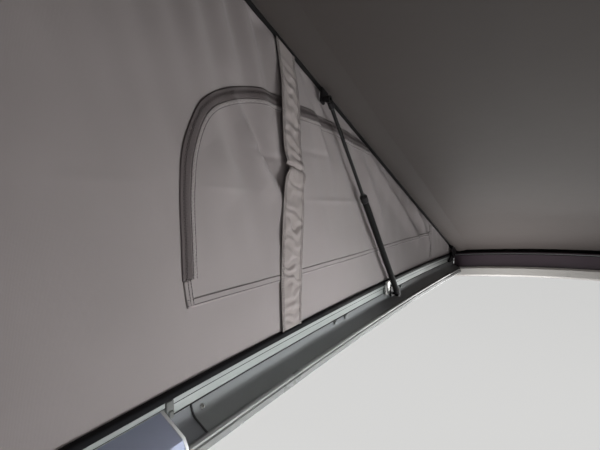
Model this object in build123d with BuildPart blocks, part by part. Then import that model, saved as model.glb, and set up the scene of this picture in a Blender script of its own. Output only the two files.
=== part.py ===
from build123d import *
from math import asin, atan2, cos, degrees, hypot, radians, sin, sqrt, tan
import os

# Elevating roof of a camper van: a base frame bolted round the cut-out in the vehicle's roof,
# a shell hinged at its rear end, canvas walls between them and two gas springs that hold it up.
# All sizes are in millimetres. +X points forward, +Y to the vehicle's left, +Z up.
# The origin is the centre of the cut-out, level with the flange's underside at its corner bolts.
# "s" is a distance from the centre line out to either side, and "h" a height above the roof skin.
# The roof's pieces are drawn shut and then opened about the hinge.

# Base frame and roof skin
canvas_half_length = 1240
canvas_half_width = 640
skin_rise_along = 28.5
skin_rise_across = 35
bolt_x = 900
bolt_out = 40
bolt_radius = 4.5
web = 5
flange = 4
flange_reach = 66
web_depth = 52
rail_top = 41
ledge_out = 10
ledge_in = 4
ledge = 4
strip_line = 27.5
strip_step = 2
strip_slope = 0.5
gasket_top = 50
gasket_edge = 3
gasket_lean = 1
gasket_side_edge = 4
gasket_hook = 2.5
corner_gap = 1.5

# Inner trims
groove_gap = 2
channel_top = 9.5
crease_in = 5
crease_h = -9
crease_radius = 16
crease_steps = 7
channel_in = 33
channel_low = -28
channel_wall = 5
channel_front_x = 576
trim_joint_x = 632
trim_joint_gap = 1
trim_end_drop = 1.5
lip_in = 42
lip_bottom = -50
lip_wall = 3
cover_in = 49
cover_wall = 4
cover_top = 24
cover_knee_h = -17
cover_bottom = -56
cover_knee_rise = 12
cover_edge = 4

# Rear end
rear_rail_top = 35
rear_web_depth = 74
rear_flange_reach = 112
rear_ledge_out = 3
rear_trim_wall = 4
rear_trim_low = -27
rear_trim_below = 2
rear_trim_edge = 3
rear_lip_in = 14
rear_lip_edge = 5
rear_lip_fall = 8
rear_seal_height = 8
rear_seal_short = 12
rear_seal_edge = 3
fairing_start = 42
fairing_height = 11
fairing_tail = 2
fairing_edge = 3

# Hinge and opening
open_angle = 21.4
hinge_from_rear = 87
hinge_z = 30
hinge_pin_radius = 5
hinge_ear_radius = 12
hinge_ear_in = 11
hinge_plate = 5
hinge_gap = 5.5
hinge_length = 84
hinge_ear_land = 5
hinge_pin_past = 3
hinge_leaf_drop = 14
running_clearance = 0.05

# Roof, in its shut place
clamp_bottom = 71
clamp_in = 10
clamp_out = 6
clamp_rear_gap = 8
headliner_bottom = 75
headliner_in = 20
headliner_thickness = 16
headliner_edge_radius = 12
headliner_end_gap = 1
side_wall = 12
shell_overhang = 86
shoulder_height = 118
shell_rise = 40
shell_edge = 46
skirt_h = 10
seal_h = 4
seal_side_gap = 0.5
seal_in = 3
seal_ends_in = 50
shell_front_gap = 8
nose_from_end = 60
nose_length = 264
nose_cavity_top = 34
nose_wall = 18
nose_cavity_flank = 22
nose_cavity_corner = 80
nose_cavity_front = 150
nose_cavity_taper = 50
nose_cavity_bend = 42
tail_past_end = 28
tail_wall = 8
tail_cut_length = 128
tail_cut_height = 62
cavity_shoulder_gap = 4
cavity_shoulder_drop = 31

# Soft parts
canvas_thickness = 2
canvas_gap = 0.5
canvas_rear_in = 15
canvas_front_out = 1
flap_offset = 1.8
flap_thickness = 1.5
flap_front_x = 585
flap_from_rear = 450
flap_base = 166.6
flap_side_top = 345
flap_corner = 150
flap_crest = 160
flap_bend = 0.27
flap_arch_end_x = -90
flap_drop = 12
strap_x = 288
strap_width = 72
strap_offset = 12.8
strap_thickness = 2.5
strap_tuck = 5
strap_foot = 4

# Gas springs
spring_in = 28
foot_x = -312
foot_h = 1.5
head_x = 159
head_drop = 27
cylinder_radius = 9
cylinder_length = 426
rod_radius = 4.5
rod_in_cylinder = 60
eye_radius = 9
eye_width = 12
neck_radius = 5
spring_pin_radius = 4
bracket_plate = 5
bracket_half_length = 22
bracket_end_half = 12
head_half_length = 14
head_end_half = 8
foot_plate_gap = 7
foot_plate_below = 9
foot_pad_rise = 1.5
foot_pad_drop = 2
head_plate_below = 8
head_plate_rise = 12
stud_extra_radius = 2
spring_pin_past = 2
head_eye_smaller = 1
open_eye_gap = 0.6
bore_past = 20

# Latches
latch_y = 350
latch_width = 60
latch_length = 66
latch_from_end = 54
latch_height = 20
latch_sink = 4
latch_hook = 8
latch_hook_drop = 24
latch_hook_end = 4
keeper_depth = 14
keeper_width = 40
keeper_height = 6

# Working sizes: how far runs and cuts go past what they meet
run_past = 20
run_height = 800
cut_past = 1

os.makedirs("parts", exist_ok=True)

# Places that follow from the sizes above
wall = canvas_half_width
end_x = canvas_half_length
hinge_x = -end_x + hinge_from_rear
nose_start_x = end_x - nose_from_end
nose_x = nose_start_x + nose_length
tail_x = -end_x - tail_past_end
tail_cut_x = tail_x + tail_cut_length
headliner_half_width = wall - headliner_in
shell_half_width = wall + shell_overhang
spring_s = wall - spring_in
bolt_s = wall + bolt_out
flap_rear_x = -end_x + flap_from_rear

# Roof skin: an arc along the vehicle and an arc across it
arc_along = (canvas_half_length**2 + skin_rise_along**2) / (2 * skin_rise_along)
arc_along_z = -sqrt(arc_along**2 - bolt_x**2)
arc_across = (canvas_half_width**2 + skin_rise_across**2) / (2 * skin_rise_across)
along_axis = Axis((0, 0, arc_along_z), (0, 1, 0))
end_skin = arc_along_z + sqrt(arc_along**2 - canvas_half_length**2)
hinge_axis = Axis((hinge_x, 0, hinge_z), (0, -1, 0))
slope = tan(radians(open_angle))


def skin(x):
    """Height of the roof skin's side edge at x."""
    return arc_along_z + sqrt(arc_along**2 - x**2)


def across_centre(level):
    """Height of the centre of the arc across the vehicle whose sides lie at this level."""
    return level - sqrt(arc_across**2 - canvas_half_width**2)


def crown(y):
    """Rise of the arc across the vehicle at y, above its sides."""
    return sqrt(arc_across**2 - y**2) - sqrt(arc_across**2 - canvas_half_width**2)


def side_run(points, side, rear_x, front_x):
    """A section of (s, h) points carried along the skin's arc on one side."""
    start = asin(rear_x / arc_along)
    turn = degrees(asin(front_x / arc_along) - start)
    seat = (arc_along * sin(start), 0, arc_along_z + arc_along * cos(start))
    plane = Plane(origin=seat, x_dir=(0, 1, 0), z_dir=(cos(start), 0, -sin(start)))
    with BuildPart() as run:
        with BuildSketch(plane):
            with BuildLine():
                Polyline([(side * s, h) for s, h in points], close=True)
            make_face()
        revolve(axis=along_axis, revolution_arc=turn)
    return run


def cross_run(points, half_width, level=0):
    """A section of (x, z) points carried along the arc across the vehicle, z counted from level."""
    centre = across_centre(level)
    start = asin((half_width + run_past) / arc_across)
    seat = (0, arc_across * sin(start), centre + arc_across * cos(start))
    plane = Plane(origin=seat, x_dir=(1, 0, 0), z_dir=(0, -cos(start), sin(start)))
    low = min(x for x, z in points)
    high = max(x for x, z in points)
    with BuildPart() as run:
        with BuildSketch(plane):
            with BuildLine():
                Polyline(points, close=True)
            make_face()
        revolve(axis=Axis((0, 0, centre), (1, 0, 0)), revolution_arc=2 * degrees(start))
        with Locations(((low + high) / 2, 0, level)):
            Box(high - low + run_past, 2 * half_width, run_height, mode=Mode.INTERSECT)
    return run


def crown_line(half_width, z):
    """Three points of the arc across the vehicle at height z, from right to left."""
    return [(-half_width, z + crown(half_width)), (0, z + crown(0)), (half_width, z + crown(half_width))]


def side_plate(points, side, near_s, far_s):
    """A flat plate of (x, z) points between two distances from the centre line."""
    with BuildPart() as plate:
        with BuildSketch(Plane.XZ.offset(-side * near_s)):
            with BuildLine():
                Polyline(points, close=True)
            make_face()
        extrude(amount=-side * (far_s - near_s))
    return plate


def side_pin(x, z, radius, side, near_s, far_s):
    """A round pin across the vehicle, as a part to add or to cut away."""
    with BuildPart() as pin:
        with BuildSketch(Plane.XZ.offset(-side * near_s)):
            with Locations((x, z)):
                Circle(radius)
        extrude(amount=-side * (far_s - near_s))
    return pin.part


def write(part, node, raised=False):
    """Label a finished piece and write its file; raised pieces are first opened with the roof."""
    if raised:
        part = part.rotate(hinge_axis, open_angle)
    part.label = node
    export_step(part, f"parts/{node}.step")


def opened(x, z):
    """Where a point of the shut roof stands when the roof is open."""
    turn = radians(open_angle)
    dx = x - hinge_x
    dz = z - hinge_z
    return (hinge_x + dx * cos(turn) - dz * sin(turn), hinge_z + dx * sin(turn) + dz * cos(turn))


def shut(x, z):
    """Where a point of the open roof lies when the roof is shut."""
    turn = radians(open_angle)
    dx = x - hinge_x
    dz = z - hinge_z
    return (hinge_x + dx * cos(turn) + dz * sin(turn), hinge_z - dx * sin(turn) + dz * cos(turn))


def roof_line(x, rise=0):
    """Height of the canvas's top edge at x with the roof open."""
    line_x, line_z = opened(hinge_x, clamp_bottom - canvas_gap + rise)
    return line_z + (x - line_x) * slope


sides = {"right": -1, "left": 1}
canvas_rear_x = -end_x + canvas_rear_in

# Side rails: a web through the cut-out, a flange on the skin and a ledge for the gasket
rail_section = [
    (wall, -web_depth),
    (wall + web, -web_depth),
    (wall + web, 0),
    (wall + flange_reach, 0),
    (wall + flange_reach, flange),
    (wall + web, flange),
    (wall + web, rail_top - ledge),
    (wall + ledge_out, rail_top - ledge),
    (wall + ledge_out, rail_top),
    (wall - ledge_in, rail_top),
    (wall - ledge_in, rail_top - ledge + strip_slope),
    (wall - strip_step, rail_top - ledge + strip_slope),
    (wall - strip_step, strip_line + strip_slope),
    (wall, strip_line - strip_slope),
]
gasket_section = [
    (wall - ledge_in - gasket_lean, rail_top - gasket_hook),
    (wall - ledge_in, rail_top - gasket_hook),
    (wall - ledge_in, rail_top),
    (wall + ledge_out, rail_top),
    (wall + ledge_out, gasket_top - gasket_edge),
    (wall + ledge_out - gasket_side_edge, gasket_top),
    (wall - gasket_lean, gasket_top),
    (wall - ledge_in - gasket_lean, rail_top + gasket_side_edge + gasket_lean),
]


def bend(before, corner, after, radius, steps):
    """Points of a round bend in place of a corner between two straight runs."""
    way_in = atan2(corner[1] - before[1], corner[0] - before[0])
    way_out = atan2(after[1] - corner[1], after[0] - corner[0])
    turn = way_out - way_in
    setback = radius * tan(abs(turn) / 2)
    start = (corner[0] - setback * cos(way_in), corner[1] - setback * sin(way_in))
    side = 1 if turn > 0 else -1
    centre = (start[0] - side * radius * sin(way_in), start[1] + side * radius * cos(way_in))
    points = []
    for step in range(steps + 1):
        angle = way_in + turn * step / steps
        points.append((centre[0] + side * radius * sin(angle), centre[1] - side * radius * cos(angle)))
    return points


def channel_points(drop):
    """Section of the inner trim channel, lowered by a drop."""
    top = (wall, channel_top - drop)
    crease = (wall - crease_in, crease_h - drop)
    low = (wall - channel_in, channel_low - drop)
    under = [(low[0], low[1] - channel_wall), (wall, crease[1] - channel_wall - strip_step)]
    return [top] + bend(top, crease, low, crease_radius, crease_steps) + [low] + under


channel_section = channel_points(0)
trim_end_section = channel_points(trim_end_drop)
# The lip's rolled upper edge, as distances in from the channel and down from its low edge
lip_roll = [(0, -1), (4, -1), (7, 2), (7, 6), (4, 8), (7, 10)]
lip_section = [(wall - channel_in - inward, channel_low - down) for inward, down in lip_roll]
lip_section += [
    (wall - lip_in, lip_bottom + lip_wall),
    (wall - lip_in + lip_wall, lip_bottom),
    (wall, lip_bottom),
    (wall, lip_bottom + lip_wall),
    (wall - channel_in, lip_bottom + lip_wall),
]
cover_section = [
    (wall, cover_top),
    (wall - cover_in + cover_edge, cover_knee_h + cover_knee_rise),
    (wall - cover_in, cover_knee_h),
    (wall - cover_in, cover_bottom),
    (wall - cover_in + cover_wall, cover_bottom),
    (wall - cover_in + cover_wall, cover_knee_h),
    (wall - cover_in + cover_wall + cover_edge, cover_knee_h + cover_knee_rise - cover_wall / 2),
    (wall, cover_top - cover_wall),
]
skin_edge_x = end_x + web
corner_section = [
    (wall - ledge_in, 0),
    (wall + flange_reach, 0),
    (wall + flange_reach, flange),
    (wall - ledge_in, flange),
]
trim_rear_x = -end_x + rear_lip_in + groove_gap
cover_rear_x = trim_joint_x + trim_joint_gap
for name, side in sides.items():
    rail = side_run(rail_section, side, -skin_edge_x, skin_edge_x)
    with rail:
        add(side_run(corner_section, side, skin_edge_x, end_x + flange_reach).part)
        add(side_run(corner_section, side, -end_x - rear_flange_reach, -skin_edge_x).part)
        with Locations((-bolt_x, side * bolt_s, 0), (bolt_x, side * bolt_s, 0)):
            Cylinder(bolt_radius, 6 * flange, mode=Mode.SUBTRACT)
    write(rail.part, f"rail_{name}")
    gasket = side_run(gasket_section, side, canvas_rear_x - groove_gap, end_x - ledge_in - groove_gap)
    write(gasket.part, f"gasket_{name}")
    channel = side_run(channel_section, side, trim_rear_x, channel_front_x)
    write(channel.part, f"channel_{name}")
    trim_end = side_run(trim_end_section, side, channel_front_x + trim_joint_gap, trim_joint_x)
    write(trim_end.part, f"trim_end_{name}")
    lip = side_run(lip_section, side, trim_rear_x, trim_joint_x)
    write(lip.part, f"lip_{name}")
    cover = side_run(cover_section, side, cover_rear_x, end_x - cover_in - groove_gap)
    write(cover.part, f"cover_{name}")

# Front rail, its gasket and the front cover, crowned across the vehicle
cross_half = wall - ledge_in


def front_points(section):
    """A side section's (s, h) points turned to the front end, as (x, z) points."""
    return [(end_x + s - wall, h) for s, h in section]


rail_front = cross_run(front_points(rail_section), cross_half, end_skin)
write(rail_front.part, "rail_front")
gasket_front = cross_run(front_points(gasket_section), wall - ledge_in - corner_gap, end_skin)
write(gasket_front.part, "gasket_front")
front_cover = cross_run(front_points(cover_section), wall - corner_gap, end_skin)
write(front_cover.part, "front_cover")

# Rear rail with its long flange, trim, lip, seal and fairing
rear_rail_section = [
    (-end_x, -rear_web_depth),
    (-end_x, rear_rail_top),
    (-end_x - web - rear_ledge_out, rear_rail_top),
    (-end_x - web - rear_ledge_out, rear_rail_top - ledge),
    (-end_x - web, rear_rail_top - ledge),
    (-end_x - web, flange),
    (-end_x - rear_flange_reach, flange),
    (-end_x - rear_flange_reach, 0),
    (-end_x - web, 0),
    (-end_x - web, -rear_web_depth),
]
rail_rear = cross_run(rear_rail_section, cross_half, end_skin)
write(rail_rear.part, "rail_rear")

rear_trim_section = [
    (-end_x, rear_rail_top - rear_trim_below),
    (-end_x + rear_trim_wall, rear_rail_top - rear_trim_below - rear_trim_edge),
    (-end_x + rear_trim_wall, rear_trim_low),
    (-end_x, rear_trim_low),
]
rear_trim = cross_run(rear_trim_section, cross_half, end_skin)
write(rear_trim.part, "rear_trim")

rear_lip_section = [
    (-end_x, rear_trim_low),
    (-end_x + rear_lip_in - rear_lip_edge, rear_trim_low),
    (-end_x + rear_lip_in, rear_trim_low - rear_lip_fall),
    (-end_x + rear_lip_in, -rear_web_depth + rear_lip_fall),
    (-end_x + rear_lip_in - rear_lip_edge, -rear_web_depth),
    (-end_x, -rear_web_depth),
]
rear_lip = cross_run(rear_lip_section, wall, end_skin)
write(rear_lip.part, "rear_lip")

rear_seal_section = [
    (-end_x - web - rear_ledge_out, rear_rail_top),
    (-end_x, rear_rail_top),
    (-end_x, rear_rail_top + rear_seal_height - rear_seal_edge),
    (-end_x - rear_seal_edge, rear_rail_top + rear_seal_height),
    (-end_x - web - rear_ledge_out, rear_rail_top + rear_seal_height - rear_seal_edge),
]
rear_seal = cross_run(rear_seal_section, wall - rear_seal_short, end_skin)
write(rear_seal.part, "rear_seal")

fairing_section = [
    (-end_x - fairing_start, flange),
    (-end_x - fairing_start, flange + fairing_height - fairing_edge),
    (-end_x - fairing_start - fairing_edge, flange + fairing_height),
    (-end_x - rear_flange_reach + fairing_edge, flange + fairing_tail),
    (-end_x - rear_flange_reach + fairing_edge, flange),
]
fairing = cross_run(fairing_section, cross_half - corner_gap, end_skin)
write(fairing.part, "rear_fairing")

# Canvas walls: flat sheets from the gasket up to the clamp rails
canvas_front_top = opened(end_x + canvas_front_out, clamp_bottom - 2 * canvas_gap)
foot_h_canvas = gasket_top + canvas_gap
front_foot = (end_x, skin(end_x) + foot_h_canvas)
rear_foot = (canvas_rear_x, skin(canvas_rear_x) + foot_h_canvas)
for name, side in sides.items():
    with BuildPart() as canvas:
        with BuildSketch(Plane.XZ.offset(-side * wall)):
            with BuildLine():
                ThreePointArc(rear_foot, (0, skin(0) + foot_h_canvas), front_foot)
                Polyline([front_foot, canvas_front_top, (canvas_rear_x, roof_line(canvas_rear_x)), rear_foot])
            make_face()
        extrude(amount=-side * canvas_thickness)
    write(canvas.part, f"canvas_{name}")

# Front canvas: a leaning sheet whose foot and top follow the arc across the vehicle
lean = atan2(front_foot[0] - canvas_front_top[0], canvas_front_top[1] - front_foot[1])
front_height = hypot(front_foot[0] - canvas_front_top[0], canvas_front_top[1] - front_foot[1])
front_plane = Plane(
    origin=(front_foot[0], 0, front_foot[1]),
    x_dir=(0, 1, 0),
    z_dir=(cos(lean), 0, sin(lean)),
)
front_half = wall - canvas_gap
with BuildPart() as canvas_front:
    with BuildSketch(front_plane):
        with BuildLine():
            top_left = (front_half, front_height)
            top_middle = (0, front_height + skin_rise_across)
            top_right = (-front_half, front_height)
            ThreePointArc((-front_half, 0), (0, skin_rise_across), (front_half, 0))
            Line((front_half, 0), top_left)
            ThreePointArc(top_left, top_middle, top_right)
            Line(top_right, (-front_half, 0))
        make_face()
    extrude(amount=canvas_thickness)
write(canvas_front.part, "canvas_front")

# Window flaps on the inside of the side canvas, with one rounded upper corner
flap_s = wall - flap_offset
flap_shoulder = flap_base + flap_side_top
for name, side in sides.items():
    with BuildPart() as flap:
        with BuildSketch(Plane.XZ.offset(-side * flap_s)):
            with BuildLine():
                low_front = (flap_front_x, flap_base)
                knee = (flap_front_x, flap_base + flap_side_top - flap_corner)
                crest = (flap_front_x - flap_crest, flap_shoulder)
                middle = (flap_front_x - flap_bend * flap_corner, flap_shoulder - flap_bend * flap_corner)
                meet = (flap_arch_end_x, roof_line(flap_arch_end_x) - flap_drop)
                tail_top = (flap_rear_x, roof_line(flap_rear_x) - flap_drop)
                tail_low = (flap_rear_x, flap_base)
                ThreePointArc(knee, middle, crest)
                Polyline([crest, meet, tail_top, tail_low, low_front, knee])
            make_face()
        extrude(amount=-side * flap_thickness)
    write(flap.part, f"flap_{name}")

# Hanging straps in front of the flaps
strap_rear = strap_x - strap_width / 2
strap_front = strap_x + strap_width / 2
strap_points = [
    (strap_rear, skin(strap_x) + gasket_top + strap_foot),
    (strap_front, skin(strap_x) + gasket_top + strap_foot),
    (strap_front, roof_line(strap_front) + strap_tuck),
    (strap_rear, roof_line(strap_rear) + strap_tuck),
]
for name, side in sides.items():
    strap = side_plate(strap_points, side, wall - strap_offset, wall - strap_offset + strap_thickness)
    write(strap.part, f"strap_{name}")

# Hinges: a base with a pin on the rail, a leaf under the clamp rail
base_in = wall - hinge_ear_in
leaf_far = base_in - hinge_gap
leaf_near = leaf_far - hinge_plate
hinge_half = hinge_length / 2
hinge_rear_x = hinge_x - hinge_half
hinge_front_x = hinge_x + hinge_half
hinge_low = skin(hinge_x) + channel_top + groove_gap
hinge_high = skin(hinge_x) + strip_line - hinge_ear_land + strip_slope
hinge_pad_points = [
    (hinge_rear_x, hinge_low),
    (hinge_front_x, hinge_low),
    (hinge_front_x, hinge_high),
    (hinge_rear_x, hinge_high),
]
hinge_ear_points = [
    (hinge_rear_x, hinge_low),
    (hinge_front_x, hinge_low),
    (hinge_front_x, hinge_high),
    (hinge_x + hinge_ear_radius, hinge_z + hinge_ear_land),
    (hinge_x + hinge_ear_land, hinge_z + hinge_ear_radius),
    (hinge_x - hinge_ear_land, hinge_z + hinge_ear_radius),
    (hinge_x - hinge_ear_radius, hinge_z + hinge_ear_land),
    (hinge_rear_x, hinge_high),
]
hinge_leaf_points = [
    (hinge_rear_x, clamp_bottom),
    (hinge_rear_x, clamp_bottom - hinge_leaf_drop),
    (hinge_x - hinge_ear_radius, hinge_z - strip_step),
    (hinge_x - hinge_ear_land, hinge_z - hinge_ear_radius),
    (hinge_x + hinge_ear_land, hinge_z - hinge_ear_radius),
    (hinge_x + hinge_ear_radius, hinge_z - strip_step),
    (hinge_front_x, clamp_bottom - hinge_leaf_drop),
    (hinge_front_x, clamp_bottom),
]
hinge_foot_points = [
    (hinge_rear_x, clamp_bottom - hinge_plate),
    (hinge_front_x, clamp_bottom - hinge_plate),
    (hinge_front_x, clamp_bottom),
    (hinge_rear_x, clamp_bottom),
]
for name, side in sides.items():
    with BuildPart() as hinge_base:
        add(side_plate(hinge_pad_points, side, base_in + hinge_plate, wall).part)
        add(side_plate(hinge_ear_points, side, base_in, base_in + hinge_plate).part)
        add(side_pin(hinge_x, hinge_z, hinge_pin_radius, side, leaf_near - hinge_pin_past, base_in))
    write(hinge_base.part, f"hinge_base_{name}")
    hole_radius = hinge_pin_radius + running_clearance
    with BuildPart() as hinge_leaf:
        add(side_plate(hinge_leaf_points, side, leaf_near, leaf_far).part)
        add(side_plate(hinge_foot_points, side, leaf_near, wall).part)
        hole = side_pin(hinge_x, hinge_z, hole_radius, side, leaf_near - cut_past, leaf_far + cut_past)
        add(hole, mode=Mode.SUBTRACT)
    write(hinge_leaf.part, f"hinge_leaf_{name}", raised=True)

# Canvas clamp rails round the roof's inner edge, up to the shell above the headliner
cavity_top = headliner_bottom + headliner_thickness
clamp_top = cavity_top + crown(wall + clamp_out)
clamp_rear_x = canvas_rear_x + clamp_rear_gap
clamp_front_x = end_x + clamp_rear_gap
clamp_points = [
    (clamp_rear_x, clamp_bottom),
    (clamp_front_x, clamp_bottom),
    (clamp_front_x, clamp_top),
    (clamp_rear_x, clamp_top),
]
for name, side in sides.items():
    clamp = side_plate(clamp_points, side, wall - clamp_in, wall + clamp_out)
    write(clamp.part, f"canvas_rail_{name}", raised=True)
front_clamp_section = [
    (end_x - clamp_in, clamp_bottom),
    (clamp_front_x, clamp_bottom),
    (clamp_front_x, clamp_top),
    (end_x - clamp_in, clamp_top),
]
canvas_rail_front = cross_run(front_clamp_section, wall - clamp_in - canvas_gap)
write(canvas_rail_front.part, "canvas_rail_front", raised=True)

# Headliner: a crowned padded board with rounded lower edges
with BuildPart() as headliner:
    with BuildSketch(Plane.YZ.offset(canvas_rear_x)):
        with BuildLine():
            low = crown_line(headliner_half_width, headliner_bottom)
            high = crown_line(headliner_half_width, cavity_top)
            ThreePointArc(low[0], low[1], low[2])
            Line(low[2], high[2])
            ThreePointArc(high[2], high[1], high[0])
            Line(high[0], low[0])
        face = make_face()
        fillet(face.vertices().group_by(Axis.Y)[0], headliner_edge_radius)
    extrude(amount=end_x - clamp_in - headliner_end_gap - canvas_rear_x)
write(headliner.part, "headliner", raised=True)


def skin_plane(x):
    """The plane square to the skin's arc at x, with its origin on the skin."""
    turn = asin(x / arc_along)
    seat = (arc_along * sin(turn), 0, arc_along_z + arc_along * cos(turn))
    return Plane(origin=seat, x_dir=(0, 1, 0), z_dir=(cos(turn), 0, -sin(turn)))


def shell_outline(x, half, shoulder, rise, edge):
    """Outline of the shell across the vehicle at x."""
    with BuildSketch(skin_plane(x)) as outline:
        with BuildLine():
            Line((-half, shoulder), (-half, skirt_h))
            Line((-half, skirt_h), (half, skirt_h))
            Line((half, skirt_h), (half, shoulder))
            ThreePointArc((half, shoulder), (0, shoulder + rise), (-half, shoulder))
        face = make_face()
        fillet(face.vertices().group_by(Axis.Y)[-1], edge)
    return outline.sketch


# Outer shell: a crowned sandwich panel along the skin's arc, with a lofted nose.
# Each nose section has its share of the nose's length and its drops in half width, shoulder height,
# rise and edge radius from the body's outline.
nose_drops = [
    (0, 0, 0, 0, 0),
    (1 / 3, 12, 10, 3, 2),
    (2 / 3, 52, 34, 10, 10),
    (1, 130, 70, 20, 22),
]
with BuildPart() as nose:
    for share, narrower, lower, flatter, sharper in nose_drops:
        station = nose_start_x + share * nose_length
        half = shell_half_width - narrower
        add(shell_outline(station, half, shoulder_height - lower, shell_rise - flatter, shell_edge - sharper))
    loft()
body_turn = degrees(asin(nose_start_x / arc_along) - asin(tail_x / arc_along))
with BuildPart() as shell:
    add(shell_outline(tail_x, shell_half_width, shoulder_height, shell_rise, shell_edge))
    revolve(axis=along_axis, revolution_arc=body_turn)
    add(nose.part)

# The hollow under the shell, over the headliner's top
cut_low = -canvas_half_width
cut_half = shell_half_width + shell_overhang
cavity_half = shell_half_width - side_wall
inner_half = wall + clamp_out + cavity_shoulder_gap
with BuildPart() as cavity:
    with BuildSketch(Plane.YZ.offset(tail_x + tail_wall)):
        with BuildLine():
            top = crown_line(inner_half, cavity_top)
            ThreePointArc(top[0], top[1], top[2])
            Polyline(
                top[2],
                (cavity_half, cavity_top - cavity_shoulder_drop),
                (cavity_half, cut_low),
                (-cavity_half, cut_low),
                (-cavity_half, cavity_top - cavity_shoulder_drop),
                top[0],
            )
        make_face()
    extrude(amount=clamp_front_x + shell_front_gap - tail_x - tail_wall)
# The lower hollow of the nose, narrowing forward
nose_cavity_line = [
    (clamp_front_x, cavity_half),
    (clamp_front_x + nose_cavity_taper, cavity_half - nose_cavity_flank),
    (nose_x - nose_wall - nose_cavity_bend, cavity_half - nose_cavity_corner),
    (nose_x - nose_wall, cavity_half - nose_cavity_front),
]
nose_cavity_mirror = [(x, -y) for x, y in reversed(nose_cavity_line)]
with BuildPart() as nose_cavity:
    with BuildSketch(Plane.XY.offset(cut_low)):
        with BuildLine():
            Polyline(nose_cavity_line + nose_cavity_mirror, close=True)
        make_face()
    extrude(amount=nose_cavity_top - cut_low)
# The nose's lower edge follows the arc across the roof, and the tail is cut back for the swing
nose_cut_rear_x = clamp_front_x + 2 * shell_front_gap
nose_cut_points = [
    (nose_cut_rear_x, cut_low),
    (nose_x + nose_length, cut_low),
    (nose_x + nose_length, skirt_h),
    (nose_cut_rear_x, skirt_h),
]
tail_cut_points = [
    (tail_cut_x, 0),
    (tail_x - tail_wall, tail_cut_height),
    (tail_x - tail_wall, cut_low),
    (tail_cut_x, cut_low),
]
with shell:
    add(cavity.part, mode=Mode.SUBTRACT)
    add(nose_cavity.part, mode=Mode.SUBTRACT)
    add(cross_run(nose_cut_points, cut_half, end_skin).part, mode=Mode.SUBTRACT)
    add(cross_run(tail_cut_points, cut_half).part, mode=Mode.SUBTRACT)
write(shell.part, "roof_shell", raised=True)

# Rubber seals under the skirt's sides
seal_points = [
    (cavity_half + seal_side_gap, seal_h),
    (shell_half_width - seal_in, seal_h),
    (shell_half_width - seal_in, skirt_h),
    (cavity_half + seal_side_gap, skirt_h),
]
for name, side in sides.items():
    seal = side_run(seal_points, side, tail_cut_x + seal_ends_in, nose_start_x)
    write(seal.part, f"roof_seal_{name}", raised=True)

# Gas springs: foot bracket, cylinder, rod and head bracket on each side
foot = (foot_x, skin(foot_x) + foot_h)
head = (head_x, roof_line(head_x) - head_drop)
head_shut = shut(head[0], head[1])
reach = hypot(head[0] - foot[0], head[1] - foot[1])
tilt = degrees(atan2(head[1] - foot[1], head[0] - foot[0]))
reach_shut = hypot(head_shut[0] - foot[0], head_shut[1] - foot[1])
tilt_shut = degrees(atan2(head_shut[1] - foot[1], head_shut[0] - foot[0]))
print("foot", foot, "head", head, "tilt", tilt)
print("turn per turn of the roof", (tilt - tilt_shut) / open_angle)
print("slide in metres per radian of the roof", (reach - reach_shut) / 1000 / radians(open_angle))
bore_radius = rod_radius + running_clearance
bore_depth = reach - reach_shut + rod_in_cylinder + bore_past
near_eye = spring_s - eye_width / 2
far_eye = spring_s + eye_width / 2
pad_low = skin(foot_x) + channel_top + foot_pad_rise
pad_high = skin(foot_x) + strip_line - foot_pad_drop
plate_far = wall - foot_plate_gap
plate_near = plate_far - bracket_plate
foot_pad_points = [
    (foot_x - bracket_half_length, pad_low),
    (foot_x + bracket_half_length, pad_low),
    (foot_x + bracket_half_length, pad_high),
    (foot_x - bracket_half_length, pad_high),
]
foot_plate_points = [
    (foot_x - bracket_end_half, foot[1] - foot_plate_below),
    (foot_x + bracket_end_half, foot[1] - foot_plate_below),
    (foot_x + bracket_half_length, pad_low),
    (foot_x + bracket_half_length, pad_high),
    (foot_x - bracket_half_length, pad_high),
    (foot_x - bracket_half_length, pad_low),
]
head_far = wall - clamp_in
head_near = head_far - bracket_plate
head_plate_points = [
    (head_shut[0] - head_end_half, head_shut[1] - head_plate_below),
    (head_shut[0] + head_end_half, head_shut[1] - head_plate_below),
    (head_shut[0] + head_half_length, clamp_bottom),
    (head_shut[0] + head_half_length, clamp_bottom + head_plate_rise),
    (head_shut[0] - head_half_length, clamp_bottom + head_plate_rise),
    (head_shut[0] - head_half_length, clamp_bottom),
]
stud_radius = spring_pin_radius + stud_extra_radius
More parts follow.
